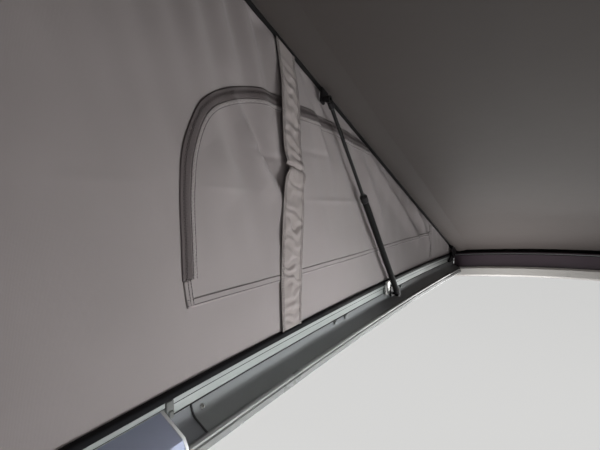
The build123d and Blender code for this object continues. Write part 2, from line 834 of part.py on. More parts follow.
for name, side in sides.items():
    spring_plane = Plane(
        origin=(foot[0], side * spring_s, foot[1]),
        x_dir=(0, 1, 0),
        z_dir=(cos(radians(tilt)), 0, sin(radians(tilt))),
    )
    foot_hole = side_pin(foot[0], foot[1], spring_pin_radius + running_clearance, side, near_eye, far_eye)
    with BuildPart() as cylinder:
        with BuildSketch(spring_plane.offset(eye_radius)):
            Circle(cylinder_radius)
        extrude(amount=cylinder_length - eye_radius)
        with BuildSketch(spring_plane):
            Circle(neck_radius)
        extrude(amount=2 * eye_radius)
        with BuildSketch(spring_plane.offset(cylinder_length - bore_depth)):
            Circle(bore_radius)
        extrude(amount=bore_depth + cut_past, mode=Mode.SUBTRACT)
        add(side_pin(foot[0], foot[1], eye_radius, side, near_eye, far_eye))
        add(foot_hole, mode=Mode.SUBTRACT)
    write(cylinder.part, f"spring_cylinder_{name}")
    head_near_eye = near_eye + head_eye_smaller
    head_far_eye = far_eye - head_eye_smaller
    with BuildPart() as rod:
        with BuildSketch(spring_plane.offset(cylinder_length - rod_in_cylinder)):
            Circle(rod_radius)
        extrude(amount=reach - cylinder_length + rod_in_cylinder)
        add(side_pin(head[0], head[1], eye_radius - head_eye_smaller, side, head_near_eye, head_far_eye))
        add(side_pin(head[0], head[1], spring_pin_radius, side, near_eye, far_eye), mode=Mode.SUBTRACT)
    write(rod.part, f"spring_rod_{name}")
    # Foot bracket: a pad on the rail's lower strip, a plate and the pin through the cylinder's eye
    with BuildPart() as foot_bracket:
        add(side_plate(foot_pad_points, side, plate_far, wall).part)
        add(side_plate(foot_plate_points, side, plate_near, plate_far).part)
        add(side_pin(foot[0], foot[1], spring_pin_radius, side, near_eye - spring_pin_past, plate_near))
    write(foot_bracket.part, f"foot_bracket_{name}")
    # Head bracket: a plate under the clamp rail with a stud that stops beside the rod's eye
    stud_end = head_far_eye + open_eye_gap
    with BuildPart() as head_bracket:
        add(side_plate(head_plate_points, side, head_near, head_far).part)
        add(side_pin(head_shut[0], head_shut[1], stud_radius, side, stud_end, head_near))
    write(head_bracket.part, f"head_bracket_{name}", raised=True)

# Front latches under the headliner and their keepers on the front rail
latch_x = end_x - latch_from_end
latch_high = headliner_bottom + crown(latch_y)
keeper_x = end_x - strip_step - keeper_depth / 2
keeper_z = end_skin + crown(latch_y) + (cover_top + rail_top) / 2
for name, side in sides.items():
    hook_x = latch_x + latch_length / 2 - latch_hook_end
    with BuildPart() as latch:
        with Locations((latch_x, side * latch_y, latch_high - latch_sink)):
            Box(latch_length, latch_width, latch_height)
        with Locations((hook_x, side * latch_y, latch_high - latch_hook_drop)):
            Box(latch_hook, latch_width / 2, latch_hook_drop)
        add(headliner.part, mode=Mode.SUBTRACT)
    write(latch.part, f"latch_{name}", raised=True)
    with BuildPart() as keeper:
        with Locations((keeper_x, side * latch_y, keeper_z)):
            Box(keeper_depth, keeper_width, keeper_height)
    write(keeper.part, f"keeper_{name}")
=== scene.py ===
import bpy
import bmesh
from math import asin, atan2, cos, exp, hypot, pi, radians, sin, sqrt, tan
from mathutils import Matrix, Vector, noise
from mathutils.bvhtree import BVHTree


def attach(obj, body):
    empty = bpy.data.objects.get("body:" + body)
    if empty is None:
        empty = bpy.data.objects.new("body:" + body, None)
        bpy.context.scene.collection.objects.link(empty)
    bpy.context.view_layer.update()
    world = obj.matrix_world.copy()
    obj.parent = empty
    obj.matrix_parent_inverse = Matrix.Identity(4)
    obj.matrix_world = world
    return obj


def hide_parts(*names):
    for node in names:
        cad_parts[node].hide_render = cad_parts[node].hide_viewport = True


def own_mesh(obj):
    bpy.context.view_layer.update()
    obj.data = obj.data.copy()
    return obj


# Elevating roof of a camper van, seen from inside its raised end. Sizes are in metres,
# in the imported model's own frame: +X forward, +Y to the vehicle's left, +Z up.
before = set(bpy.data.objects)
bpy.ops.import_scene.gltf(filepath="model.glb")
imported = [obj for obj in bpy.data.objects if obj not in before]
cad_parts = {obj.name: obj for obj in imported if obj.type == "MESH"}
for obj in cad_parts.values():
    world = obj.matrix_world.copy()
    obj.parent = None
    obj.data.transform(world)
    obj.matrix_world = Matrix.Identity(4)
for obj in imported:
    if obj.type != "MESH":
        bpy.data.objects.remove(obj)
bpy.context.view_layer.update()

# Places taken over from the solid model. The roof skin's side edge is at z = 0 at LEVEL_X.
WALL = 0.640
END = 1.240
CANVAS_REAR = -1.225
GASKET_TOP = 0.050
SKIN_SAG = 0.0285
CROWN_RISE = 0.035
LEVEL_X = 0.9
ARC_ALONG = (END**2 + SKIN_SAG**2) / (2 * SKIN_SAG)
ARC_ALONG_Z = -sqrt(ARC_ALONG**2 - LEVEL_X**2)
ARC_ACROSS = (WALL**2 + CROWN_RISE**2) / (2 * CROWN_RISE)
HINGE = Vector((-1.153, 0, 0.030))
OPEN = radians(21.4)
CLAMP_BOTTOM = 0.071
FRONT_TOP_X = 1.053
SPRING_S = 0.612
SPRING_FOOT = Vector((-0.312, 0, 0.0147065))
SPRING_HEAD = Vector((0.159, 0, 0.5606662))
CYLINDER_LENGTH = 0.426
CHANNEL_END = 0.5765
TRIM_JOINT = 0.632
SIDES = {"right": -1, "left": 1}


def skin(x):
    """Height of the roof skin's side edge at x."""
    return ARC_ALONG_Z + sqrt(ARC_ALONG**2 - x**2)


def crown(y):
    """Rise of the arc across the vehicle at y."""
    return sqrt(ARC_ACROSS**2 - y**2) - sqrt(ARC_ACROSS**2 - WALL**2)


def roof_edge(x):
    """Height of the canvas's top edge at x, with the roof open."""
    rise = CLAMP_BOTTOM - HINGE.z
    line = Vector((HINGE.x - rise * sin(OPEN), HINGE.z + rise * cos(OPEN)))
    return line.y + (x - line.x) * tan(OPEN)


def at_section(x, s, h, side):
    """A point s from the centre line and h off the skin, square to the skin's arc at x."""
    turn = asin(x / ARC_ALONG)
    return Vector((x + h * sin(turn), side * s, skin(x) + h * cos(turn)))


def smooth_step(share):
    """An even slope between 0 and 1 with soft ends."""
    share = min(max(share, 0), 1)
    return share * share * (3 - 2 * share)


# Turns what is modelled with the roof shut into its open place
RAISE = Matrix.Translation(HINGE) @ Matrix.Rotation(-OPEN, 4, "Y") @ Matrix.Translation(-HINGE)


# Materials

def shader_of(name, colour, roughness, metallic=0.0, specular=0.5):
    """A new material with its Principled shader's plain values set, and its node tree."""
    material = bpy.data.materials.new(name)
    material.use_nodes = True
    tree = material.node_tree
    shader = tree.nodes["Principled BSDF"]
    shader.inputs["Base Color"].default_value = (*colour, 1)
    shader.inputs["Roughness"].default_value = roughness
    shader.inputs["Metallic"].default_value = metallic
    shader.inputs["Specular IOR Level"].default_value = specular
    return material, tree, shader


def place_of(tree, stretch=(1, 1, 1)):
    """Object coordinates, scaled along each axis."""
    place = tree.nodes.new("ShaderNodeTexCoord")
    mapping = tree.nodes.new("ShaderNodeMapping")
    mapping.inputs["Scale"].default_value = stretch
    tree.links.new(place.outputs["Object"], mapping.inputs["Vector"])
    return mapping.outputs["Vector"]


def noise_of(tree, scale, detail, stretch=(1, 1, 1)):
    """A noise pattern's factor."""
    node = tree.nodes.new("ShaderNodeTexNoise")
    node.inputs["Scale"].default_value = scale
    node.inputs["Detail"].default_value = detail
    node.inputs["Roughness"].default_value = 0.55
    tree.links.new(place_of(tree, stretch), node.inputs["Vector"])
    return node.outputs["Fac"]


def mottle(tree, shader, colour, spread, scale, detail, stretch=(1, 1, 1)):
    """Base colour that varies softly round its mean."""
    node = tree.nodes.new("ShaderNodeValToRGB")
    stops = [(0.28, 1 - spread), (0.72, 1 + spread)]
    for element, (position, share) in zip(node.color_ramp.elements, stops):
        element.position = position
        element.color = (*[part * share for part in colour], 1)
    tree.links.new(noise_of(tree, scale, detail, stretch), node.inputs["Fac"])
    tree.links.new(node.outputs["Color"], shader.inputs["Base Color"])
    return node.outputs["Color"]


def vary_gloss(tree, shader, low, high, scale, stretch=(1, 1, 1)):
    """Roughness that varies between two values."""
    node = tree.nodes.new("ShaderNodeMapRange")
    node.inputs["From Min"].default_value = 0.3
    node.inputs["From Max"].default_value = 0.7
    node.inputs["To Min"].default_value = low
    node.inputs["To Max"].default_value = high
    tree.links.new(noise_of(tree, scale, 5, stretch), node.inputs["Value"])
    tree.links.new(node.outputs["Result"], shader.inputs["Roughness"])


def bump_of(tree, shader, height, distance, strength, under=None):
    """Adds a bump to the shader, on top of an earlier one."""
    node = tree.nodes.new("ShaderNodeBump")
    node.inputs["Distance"].default_value = distance
    node.inputs["Strength"].default_value = strength
    tree.links.new(height, node.inputs["Height"])
    if under is not None:
        tree.links.new(under, node.inputs["Normal"])
    tree.links.new(node.outputs["Normal"], shader.inputs["Normal"])
    return node.outputs["Normal"]


def math_of(tree, operation, first, second):
    """A Math node's value; the second input is a socket or a number."""
    node = tree.nodes.new("ShaderNodeMath")
    node.operation = operation
    tree.links.new(first, node.inputs[0])
    if isinstance(second, float):
        node.inputs[1].default_value = second
    else:
        tree.links.new(second, node.inputs[1])
    return node.outputs["Value"]


def parts_of(tree, vector):
    """A vector's X, Y and Z."""
    node = tree.nodes.new("ShaderNodeSeparateXYZ")
    tree.links.new(vector, node.inputs["Vector"])
    return node.outputs


def weave_of(tree, pitch):
    """Height of a plain weave with threads along x and along z."""
    waves = []
    for direction in ("X", "Z"):
        wave = tree.nodes.new("ShaderNodeTexWave")
        wave.wave_type = "BANDS"
        wave.bands_direction = direction
        wave.inputs["Scale"].default_value = 2 * pi / (20 * pitch)
        wave.inputs["Distortion"].default_value = 0.6
        wave.inputs["Detail"].default_value = 1.0
        tree.links.new(place_of(tree), wave.inputs["Vector"])
        waves.append(wave.outputs["Fac"])
    return math_of(tree, "MAXIMUM", waves[0], waves[1])


def cloth(name, colour, spread, pitch, roughness=0.85, depth=0.00012):
    """A woven cloth: mottled colour, weave and a slight fuzz."""
    material, tree, shader = shader_of(name, colour, roughness, specular=0.25)
    mottle(tree, shader, colour, spread, scale=2.2, detail=6)
    shader.inputs["Sheen Weight"].default_value = 0.12
    shader.inputs["Sheen Roughness"].default_value = 0.5
    fuzz = bump_of(tree, shader, noise_of(tree, scale=38, detail=5), distance=0.0009, strength=0.5)
    bump_of(tree, shader, weave_of(tree, pitch), distance=depth, strength=0.7, under=fuzz)
    return material


def plastic(name, colour, roughness, grain, grain_depth=0.00006, spread=0.06, specular=0.5):
    """Moulded plastic with a fine grain and slightly uneven gloss."""
    material, tree, shader = shader_of(name, colour, roughness, specular=specular)
    mottle(tree, shader, colour, spread, scale=5, detail=5)
    vary_gloss(tree, shader, roughness * 0.85, roughness * 1.2, scale=9)
    bump_of(tree, shader, noise_of(tree, scale=grain, detail=2), distance=grain_depth, strength=0.6)
    return material


def metal(name, colour, roughness, stretch=(4, 90, 90), metallic=1.0):
    """Drawn metal with streaks along its length."""
    material, tree, shader = shader_of(name, colour, roughness, metallic=metallic)
    mottle(tree, shader, colour, spread=0.07, scale=3, detail=4, stretch=stretch)
    vary_gloss(tree, shader, roughness * 0.8, roughness * 1.25, scale=2.5, stretch=stretch)
    streaks = noise_of(tree, scale=8, detail=3, stretch=stretch)
    bump_of(tree, shader, streaks, distance=0.00003, strength=0.5)
    return material


def lining(name, colour):
    """Grey coated lining with a very fine grain and soft gloss."""
    material, tree, shader = shader_of(name, colour, 0.52, specular=0.35)
    mottle(tree, shader, colour, spread=0.06, scale=1.6, detail=6)
    shader.inputs["Sheen Weight"].default_value = 0.08
    waves = bump_of(tree, shader, noise_of(tree, scale=9, detail=4), distance=0.002, strength=0.35)
    grain = noise_of(tree, scale=1300, detail=2)
    bump_of(tree, shader, grain, distance=0.00008, strength=0.5, under=waves)
    return material


# What tells the shell's inner and down-facing faces, whose near-black colour is partly dark laminate
# and partly painted shade: the way they look, and their place with the roof shut
LOOKS_DOWN = -0.5
LOOKS_FORWARD = 0.7
INNER_SIDE = 0.7145
INNER_LOW = 0.0865
INNER_FRONT = 1.20
INNER_REAR = -1.20


def gel_coat(name, colour, laminate_and_shade):
    """Gel coat outside; near-black on down-facing faces and those inside the roof, partly dark laminate
    and partly painted shade.
    """
    material, tree, shader = shader_of(name, colour, 0.28)
    outside = mottle(tree, shader, colour, spread=0.03, scale=1.3, detail=3)
    shader.inputs["Coat Weight"].default_value = 0.35
    shader.inputs["Coat Roughness"].default_value = 0.08
    bump_of(tree, shader, noise_of(tree, scale=60, detail=2), distance=0.00012, strength=0.35)
    facing = tree.nodes.new("ShaderNodeNewGeometry")
    looks = parts_of(tree, facing.outputs["Normal"])
    down = math_of(tree, "LESS_THAN", looks["Z"], LOOKS_DOWN)
    forward = math_of(tree, "GREATER_THAN", looks["X"], LOOKS_FORWARD)
    coordinates = tree.nodes.new("ShaderNodeTexCoord")
    shut = tree.nodes.new("ShaderNodeMapping")
    shut.inputs["Rotation"].default_value = (0, OPEN, 0)
    shut.inputs["Location"].default_value = HINGE - Matrix.Rotation(OPEN, 3, "Y") @ HINGE
    tree.links.new(coordinates.outputs["Object"], shut.inputs["Vector"])
    place = parts_of(tree, shut.outputs["Vector"])
    within = math_of(tree, "LESS_THAN", place["Y"], INNER_SIDE)
    for test, part, limit in (
        ("GREATER_THAN", "Y", -INNER_SIDE),
        ("LESS_THAN", "Z", INNER_LOW),
        ("LESS_THAN", "X", INNER_FRONT),
    ):
        within = math_of(tree, "MULTIPLY", within, math_of(tree, test, place[part], limit))
    behind = math_of(tree, "LESS_THAN", place["X"], INNER_REAR)
    tail = math_of(tree, "MULTIPLY", forward, behind)
    inside = math_of(tree, "MAXIMUM", down, within)
    inside = math_of(tree, "MAXIMUM", inside, tail)
    # Down-facing and inner faces take the near-black colour: painted shade over the dark laminate.
    mix = tree.nodes.new("ShaderNodeMix")
    mix.data_type = "RGBA"
    tree.links.new(inside, mix.inputs["Factor"])
    tree.links.new(outside, mix.inputs["A"])
    mix.inputs["B"].default_value = (*laminate_and_shade, 1)
    tree.links.new(mix.outputs["Result"], shader.inputs["Base Color"])
    return material


# Cloth has its colour, the colour's spread and the pitch of its threads. Plastic has its colour,
# roughness, and the scale and depth of its grain. Metal has its colour and roughness.
finishes = {
    "canvas": cloth("canvas_cloth", (0.242, 0.217, 0.216), 0.06, 0.0014),
    "strap": cloth("strap_cloth", (0.250, 0.221, 0.214), 0.05, 0.0012),
    "zip_tape": cloth("zip_tape_twill", (0.092, 0.078, 0.078), 0.08, 0.0010),
    "zip_coil": plastic("zip_coil_nylon", (0.070, 0.060, 0.060), 0.6, 400, specular=0.3),
    "thread": cloth("sewing_thread", (0.035, 0.031, 0.030), 0.1, 0.0006),
    "pale_thread": cloth("pale_thread", (0.36, 0.34, 0.33), 0.1, 0.0006),
    "net": cloth("insect_net", (0.030, 0.030, 0.031), 0.1, 0.0024, 0.7, 0.0003),
    "rubber": plastic("black_rubber", (0.005, 0.005, 0.006), 0.55, 500, 0.0001, specular=0.2),
    # Near-black strips that stand for the shade in grooves, gaps and screw recesses: painted shade.
    "line": plastic("painted_groove_shade", (0.020, 0.021, 0.022), 0.6, 500, 0.00005),
    "channel": plastic("grained_channel_plastic", (0.185, 0.195, 0.200), 0.42, 1100, 0.00008),
    # The rear trim and rear seal: the grey channel plastic darkened to the shade of the rear gap, painted
    # shade.
    "shaded_rear_band": plastic("rear_trim_plastic_painted_shade", (0.052, 0.036, 0.046), 0.46, 1100),
    "end_cap": plastic("end_cap_plastic", (0.165, 0.172, 0.185), 0.36, 1100),
    "lip": plastic("grey_lip_plastic", (0.190, 0.195, 0.190), 0.30, 500, 0.00003),
    # The rear lip is the side lips' grey plastic made about three times paler: painted light from the
    # rear.
    "rear_lip": plastic("rear_lip_plastic_painted_light", (0.60, 0.58, 0.55), 0.30, 500, 0.00003),
    "cover": plastic("pale_cover_plastic", (0.430, 0.480, 0.630), 0.34, 700, 0.00004, 0.10),
    "cover_edge": plastic("white_edge_strip", (0.72, 0.73, 0.74), 0.3, 500, 0.00003),
    "clip": plastic("grey_clip_plastic", (0.12, 0.125, 0.12), 0.45, 300, 0.00003, specular=0.35),
    "clamp": plastic("black_painted_rail", (0.008, 0.008, 0.008), 0.6, 900, 0.00005, specular=0.25),
    "bracket": plastic("black_painted_steel", (0.009, 0.008, 0.009), 0.45, 700, specular=0.30),
    "latch": plastic("black_latch_plastic", (0.025, 0.025, 0.027), 0.4, 900),
    "rail": metal("anodised_rail", (0.40, 0.43, 0.42), 0.48, metallic=0.55),
    "screw": metal("zinc_screw", (0.66, 0.66, 0.63), 0.28, (60, 60, 60)),
    "rod": plastic("black_rod", (0.006, 0.006, 0.006), 0.30, 120, 0.00001, specular=0.35),
    "cylinder": plastic("black_enamel", (0.004, 0.004, 0.004), 0.46, 120, 0.00003, specular=0.15),
    "headliner": lining("headliner_lining", (0.050, 0.0422, 0.0392)),
    "roll": lining("rolled_edge_lining", (0.048, 0.0405, 0.0376)),
    # Near-black inside and underneath: partly dark laminate, partly painted shade.
    "shell": gel_coat("gel_coat_with_shaded_inside", (0.60, 0.125, 0.018), (0.030, 0.026, 0.026)),
}

# Finishes of the solid model's own pieces
node_finish = {
    "rail_": "rail",
    "gasket_": "rubber",
    # The rear seal and rear trim take the painted shade of the rear band.
    "rear_seal": "shaded_rear_band",
    "roof_seal_": "rubber",
    "channel_": "channel",
    "rear_trim": "shaded_rear_band",
    "trim_end_": "end_cap",
    "lip_": "lip",
    "rear_lip": "rear_lip",
    "cover_": "cover",
    "front_cover": "cover",
    "canvas_rail_": "clamp",
    "roof_shell": "shell",
    "rear_fairing": "shell",
    "headliner": "headliner",
    "hinge_": "bracket",
    "foot_bracket_": "bracket",
    "head_bracket_": "bracket",
    "keeper_": "screw",
    "latch_": "latch",
    "spring_cylinder_": "cylinder",
    "spring_rod_": "rod",
}
for node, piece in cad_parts.items():
    for start, finish in node_finish.items():
        if node.startswith(start):
            piece.data.materials.clear()
            piece.data.materials.append(finishes[finish])


# Pieces

SHARP = radians(38)


def piece_from(mesh, name, finish, body, smooth=True):
    """Turns a bmesh into an object at the origin that rides on a body."""
    data = bpy.data.meshes.new(name)
    mesh.to_mesh(data)
    mesh.free()
    piece = bpy.data.objects.new(name, data)
    bpy.context.scene.collection.objects.link(piece)
    data.materials.append(finishes[finish])
    if smooth:
        data.shade_smooth()
        data.set_sharp_from_angle(angle=SHARP)
    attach(piece, body)
    return piece


def grid_of(columns, rows):
    """A flat unit grid to be laid out, with its vertices by column and row share."""
    mesh = bmesh.new()
    bmesh.ops.create_grid(mesh, x_segments=columns, y_segments=rows, size=0.5)
    return mesh


def share_of(vertex):
    """A grid vertex's place from 0 to 1 along both of its sides."""
    return vertex.co.x + 0.5, vertex.co.y + 0.5


def swept(rings):
    """A closed section carried through several places, given as rings of points."""
    around = len(rings[0])
    mesh = grid_of(len(rings) - 1, around)
    for vertex in mesh.verts:
        u, v = share_of(vertex)
        ring = rings[round(u * (len(rings) - 1))]
        vertex.co = ring[round(v * around) % around]
    bmesh.ops.remove_doubles(mesh, verts=mesh.verts, dist=1e-6)
    ends = [edge for edge in mesh.edges if edge.is_boundary]
    bmesh.ops.holes_fill(mesh, edges=ends, sides=0)
    bmesh.ops.recalc_face_normals(mesh, faces=mesh.faces)
    return mesh


def stations(start, end, count):
    """Evenly spaced values from start to end."""
    return [start + (end - start) * step / count for step in range(count + 1)]


def side_sweep(section, side, rear_x, front_x, count=60):
    """A section of (s, h) points carried along the skin's arc on one side."""
    rings = []
    for x in stations(rear_x, front_x, count):
        rings.append([at_section(x, s, h, side) for s, h in section])
    return swept(rings)


def joined(parts):
    """Several meshes made one."""
    whole = bmesh.new()
    data = bpy.data.meshes.new("part")
    for part in parts:
        part.to_mesh(data)
        part.free()
        whole.from_mesh(data)
    bpy.data.meshes.remove(data)
    return whole


def blocks(name, finish, body, rows):
    """A piece made of boxes with rounded edges; a row is (place, size, radius)."""
    mesh = bmesh.new()
    for place, size, radius in rows:
        made = bmesh.ops.create_cube(mesh, size=1.0, matrix=place @ Matrix.Diagonal((*size, 1)))
        edges = list({edge for vertex in made["verts"] for edge in vertex.link_edges})
        bmesh.ops.bevel(mesh, geom=edges, offset=radius, segments=3, profile=0.5, affect="EDGES")
    piece_from(mesh, name, finish, body)


def barrel(mesh, place, rounds, segments=32):
    """Adds a turned piece along a place's z; rounds are its (height, radius) steps."""
    for (low_z, low_r), (high_z, high_r) in zip(rounds, rounds[1:]):
        bmesh.ops.create_cone(
            mesh,
            cap_ends=True,
            segments=segments,
            radius1=low_r,
            radius2=high_r,
            depth=high_z - low_z,
            matrix=place @ Matrix.Translation((0, 0, (low_z + high_z) / 2)),
        )


SCREW_HEAD = [(-0.0010, 0.0050), (0.0010, 0.0050), (0.0020, 0.0042), (0.0026, 0.0028)]
# The cross recess is not cut: near-black boxes stand for its painted shade.
RECESS_ARMS = [(0.0046, 0.0010, 0.0006), (0.0010, 0.0046, 0.0006)]
RECESS_LIFT = 0.0025


def screws(name, body, places):
    """Pan-head screws at places whose z looks out of the head, with near-black crossed boxes as painted
    shade of their cross recesses.
    """
    heads = bmesh.new()
    shade_boxes = bmesh.new()
    for place in places:
        barrel(heads, place, SCREW_HEAD, 24)
        for size in RECESS_ARMS:
            arm = place @ Matrix.Translation((0, 0, RECESS_LIFT)) @ Matrix.Diagonal((*size, 1))
            bmesh.ops.create_cube(shade_boxes, size=1.0, matrix=arm)
    piece_from(heads, name, "screw", body)
    piece_from(shade_boxes, f"{name}_recess_shade", "line", body, smooth=False)


def frame_at(x, s, h, side, tilt=0.0):
    """A place on a side section: x runs along the vehicle, z inwards, turned by a tilt about x."""
    turn = asin(x / ARC_ALONG)
    ahead = Vector((cos(turn), 0, -sin(turn)))
    inward = Vector((0, -side, 0))
    basis = Matrix((ahead, inward.cross(ahead), inward)).transposed().to_4x4()
    return Matrix.Translation(at_section(x, s, h, side)) @ basis @ Matrix.Rotation(tilt * side, 4, "X")


def along(points, pitch):
    """Points a pitch apart on the smooth NURBS line through a route of (x, z) points."""
    curve = bpy.data.curves.new("route", "CURVE")
    curve.dimensions = "3D"
    spline = curve.splines.new("NURBS")
    spline.points.add(len(points) - 1)
    for knot, (x, z) in zip(spline.points, points):
        knot.co = (x, 0, z, 1)
    spline.order_u = 3
    spline.use_endpoint_u = True
    spline.resolution_u = 24
    holder = bpy.data.objects.new("route", curve)
    data = bpy.data.meshes.new_from_object(holder)
    line = [Vector((v.co.x, v.co.z)) for v in data.vertices]
    bpy.data.objects.remove(holder)
    bpy.data.curves.remove(curve)
    bpy.data.meshes.remove(data)
    reach = [0.0]
    for a, b in zip(line, line[1:]):
        reach.append(reach[-1] + (b - a).length)
    count = max(2, round(reach[-1] / pitch))
    spots = []
    segment = 0
    for step in range(count + 1):
        goal = reach[-1] * step / count
        while segment < len(line) - 2 and reach[segment + 1] < goal:
            segment += 1
        span = reach[segment + 1] - reach[segment]
        share = (goal - reach[segment]) / span if span > 1e-9 else 0
        spots.append(line[segment].lerp(line[segment + 1], share))
    return spots


def tangent(spots, index):
    """Direction of a line of points at one of them."""
    before = spots[max(index - 1, 0)]
    after = spots[min(index + 1, len(spots) - 1)]
    return (after - before).normalized()


# The side canvas's own form: folds that hang from the roof's edge, a soft swell, and drawn folds.
# It is tight where the wall is low, over its foot and under the roof. Each drawn fold has both
# ends' x and z, its half width and its height towards the inside. FOLD_WIDEN and FOLD_DEPTH
# multiply the last two, and FOLD_TAIL is the share of the height that is left at its ends.
HANG_DEPTH = 0.0084
HANG_REACH = 0.15
HANG_SLANT = 0.33
HANG_PITCH = 0.0815
HANG_START = 0.469
HANG_MIDDLE = 0.52
HANG_SPREAD = 0.26
HANG_LEAST = 0.25
HANG_WANDER = 1.1
SWELL = 0.0040
SMALL_SWELL = 0.0020
SWELL_SCALE = 3.1
TIGHT_HEIGHT = 0.2
TIGHT_FOOT = 0.11
TIGHT_TOP = 0.012
FOLD_DEPTH = 3.5
FOLD_WIDEN = 1.25
FOLD_TAIL = 0.35
FOLDS = [
    (0.446, 0.530, 0.300, 0.350, 0.012, -0.0042),
    (0.442, 0.479, 0.339, 0.336, 0.020, 0.0035),
    (0.498, 0.488, 0.381, 0.356, 0.026, -0.0030),
    (0.520, 0.430, 0.470, 0.330, 0.030, 0.0020),
    (0.415, 0.432, 0.309, 0.416, 0.005, -0.0012),
    (0.5505, 0.3624, 0.381, 0.356, 0.004, 0.0003),
    (0.810, 0.369, 0.640, 0.369, 0.006, 0.0002),
    (0.227, 0.582, 0.126, 0.415, 0.018, 0.0030),
    (0.189, 0.557, 0.105, 0.452, 0.012, -0.0025),
    (-0.052, 0.450, -0.221, 0.278, 0.018, 0.0040),
    (-0.008, 0.460, -0.128, 0.311, 0.014, -0.0030),
    (-0.107, 0.468, -0.580, 0.183, 0.020, 0.0050),
    (-0.158, 0.457, -0.617, 0.207, 0.013, -0.0040),
    (0.233, 0.334, -0.085, 0.321, 0.004, 0.0006),
    (0.243, 0.4415, 0.105, 0.433, 0.005, -0.0006),
    (-0.540, 0.306, -0.684, 0.210, 0.013, 0.0030),
    (-0.699, 0.201, -0.791, 0.092, 0.016, 0.0030),
]


def drawn_folds(x, z):
    """Sum of the drawn folds at a point."""
    total = 0.0
    for x0, z0, x1, z1, width, height in FOLDS:
        length = hypot(x1 - x0, z1 - z0)
        along_x = (x1 - x0) / length
        along_z = (z1 - z0) / length
        off = (x - x0) * along_z - (z - z0) * along_x
        width *= FOLD_WIDEN
        if abs(off) > 3 * width:
            continue
        share = ((x - x0) * along_x + (z - z0) * along_z) / length
        past = max(-share, share - 1, 0) * length
        ends = FOLD_TAIL + (1 - FOLD_TAIL) * sin(pi * min(max(share, 0), 1))
        total += height * ends * exp(-((off / width) ** 2) - (past / (2 * width)) ** 2)
    return total


def wall_form(x, z, side):
    """Offset of the side canvas towards the inside, in metres."""
    foot = skin(x) + GASKET_TOP
    top = roof_edge(x)
    under_roof = max(top - z, 0)
    slack = min(1, (top - foot) / TIGHT_HEIGHT)
    slack *= smooth_step((z - foot) / TIGHT_FOOT) * min(1, under_roof / TIGHT_TOP)
    spot = Vector((x * SWELL_SCALE, side * 5, z * SWELL_SCALE))
    edge_x = (x + HANG_SLANT * (roof_edge(0) - z)) / (1 - HANG_SLANT * tan(OPEN))
    wander = HANG_WANDER * noise.noise(spot * 0.8)
    wave = cos((edge_x - HANG_START) * 2 * pi / HANG_PITCH + wander)
    strong = exp(-(((edge_x - HANG_MIDDLE) / HANG_SPREAD) ** 2))
    share = HANG_LEAST + (1 - HANG_LEAST) * strong
    hanging = -HANG_DEPTH * wave * share * exp(-under_roof / HANG_REACH)
    swell = SWELL * noise.noise(spot * 0.9) + SMALL_SWELL * noise.noise(spot * 3.7)
    return slack * (hanging + swell + FOLD_DEPTH * drawn_folds(x, z))


def on_wall(x, z, side, lift):
    """A point of the side canvas's inner face, lifted off it towards the inside."""
    return Vector((x, side * (WALL - wall_form(x, z, side) - lift), z))


def settle(piece, thickness):
    """Gives a sheet its thickness."""
    solid = piece.modifiers.new("thickness", "SOLIDIFY")
    solid.thickness = thickness
    solid.offset = 0
    return piece


def laid_out(name, finish, columns, rows, thickness, point):
    """A sheet of cloth whose grid is laid out by a function of the shares along its two sides."""
    mesh = grid_of(columns, rows)
    for vertex in mesh.verts:
        vertex.co = point(*share_of(vertex))
    bmesh.ops.recalc_face_normals(mesh, faces=mesh.faces)
    return settle(piece_from(mesh, name, finish, "frame"), thickness)


def soft(piece):
    """Gives a soft piece a mesh of its own."""
    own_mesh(piece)


TAPE_THICKNESS = 0.0009
TAPE_RIPPLE = 0.0003


def ribbon(name, side, finish, route, offsets, lifts, columns, pitch, puff):
    """A strip of cloth along a route on the side canvas, with both edges' offsets and lifts."""
    spots = along(route, pitch)

    def point(u, v):
        index = round(u * (len(spots) - 1))
        way = tangent(spots, index)
        off = offsets[0] + v * (offsets[1] - offsets[0])
        x = spots[index].x + way.y * off
        z = spots[index].y - way.x * off
        ripple = TAPE_RIPPLE * noise.noise(Vector((index * 0.35, v * 2, side)))
        stand = lifts[0] + v * (lifts[1] - lifts[0])
        return on_wall(x, z, side, stand + puff * sin(pi * v) + ripple)

    return laid_out(name, finish, len(spots) - 1, columns, TAPE_THICKNESS, point)


def stitch(mesh, start, end, radius):
    """Adds one stitch between two points."""
    way = end - start
    turn = way.to_track_quat("Z", "X").to_matrix().to_4x4()
    bmesh.ops.create_cone(
        mesh,
        cap_ends=True,
        segments=6,
        radius1=radius,
        radius2=radius * 0.8,
        depth=way.length,
        matrix=Matrix.Translation((start + end) / 2) @ turn,
    )


def stitch_rows(name, finish, side, rows, pitch, length, radius):
    """Stitches on the side canvas; a row is (route, offsets of a stitch's two ends, lift)."""
    whole = bmesh.new()
    for route, off, off_end, lift in rows:
        spots = along(route, pitch)
        for index in range(len(spots) - 1):
            way = tangent(spots, index)
            middle = spots[index].lerp(spots[index + 1], 0.5)
            ends = []
            swap = 1 if index % 2 else -1
            for step in (-0.5, 0.5):
                across = (off + off_end) / 2 + swap * step * (off_end - off)
                x = middle.x + way.y * across + way.x * step * length
                z = middle.y - way.x * across + way.y * step * length
                ends.append(on_wall(x, z, side, lift))
            stitch(whole, ends[0], ends[1], radius)
    return piece_from(whole, name, finish, "frame")


# Canvas walls

CANVAS_THICKNESS = 0.0012
CANVAS_BEHIND = 0.0008
FOOT_TUCK = 0.004
TOP_TUCK = 0.006


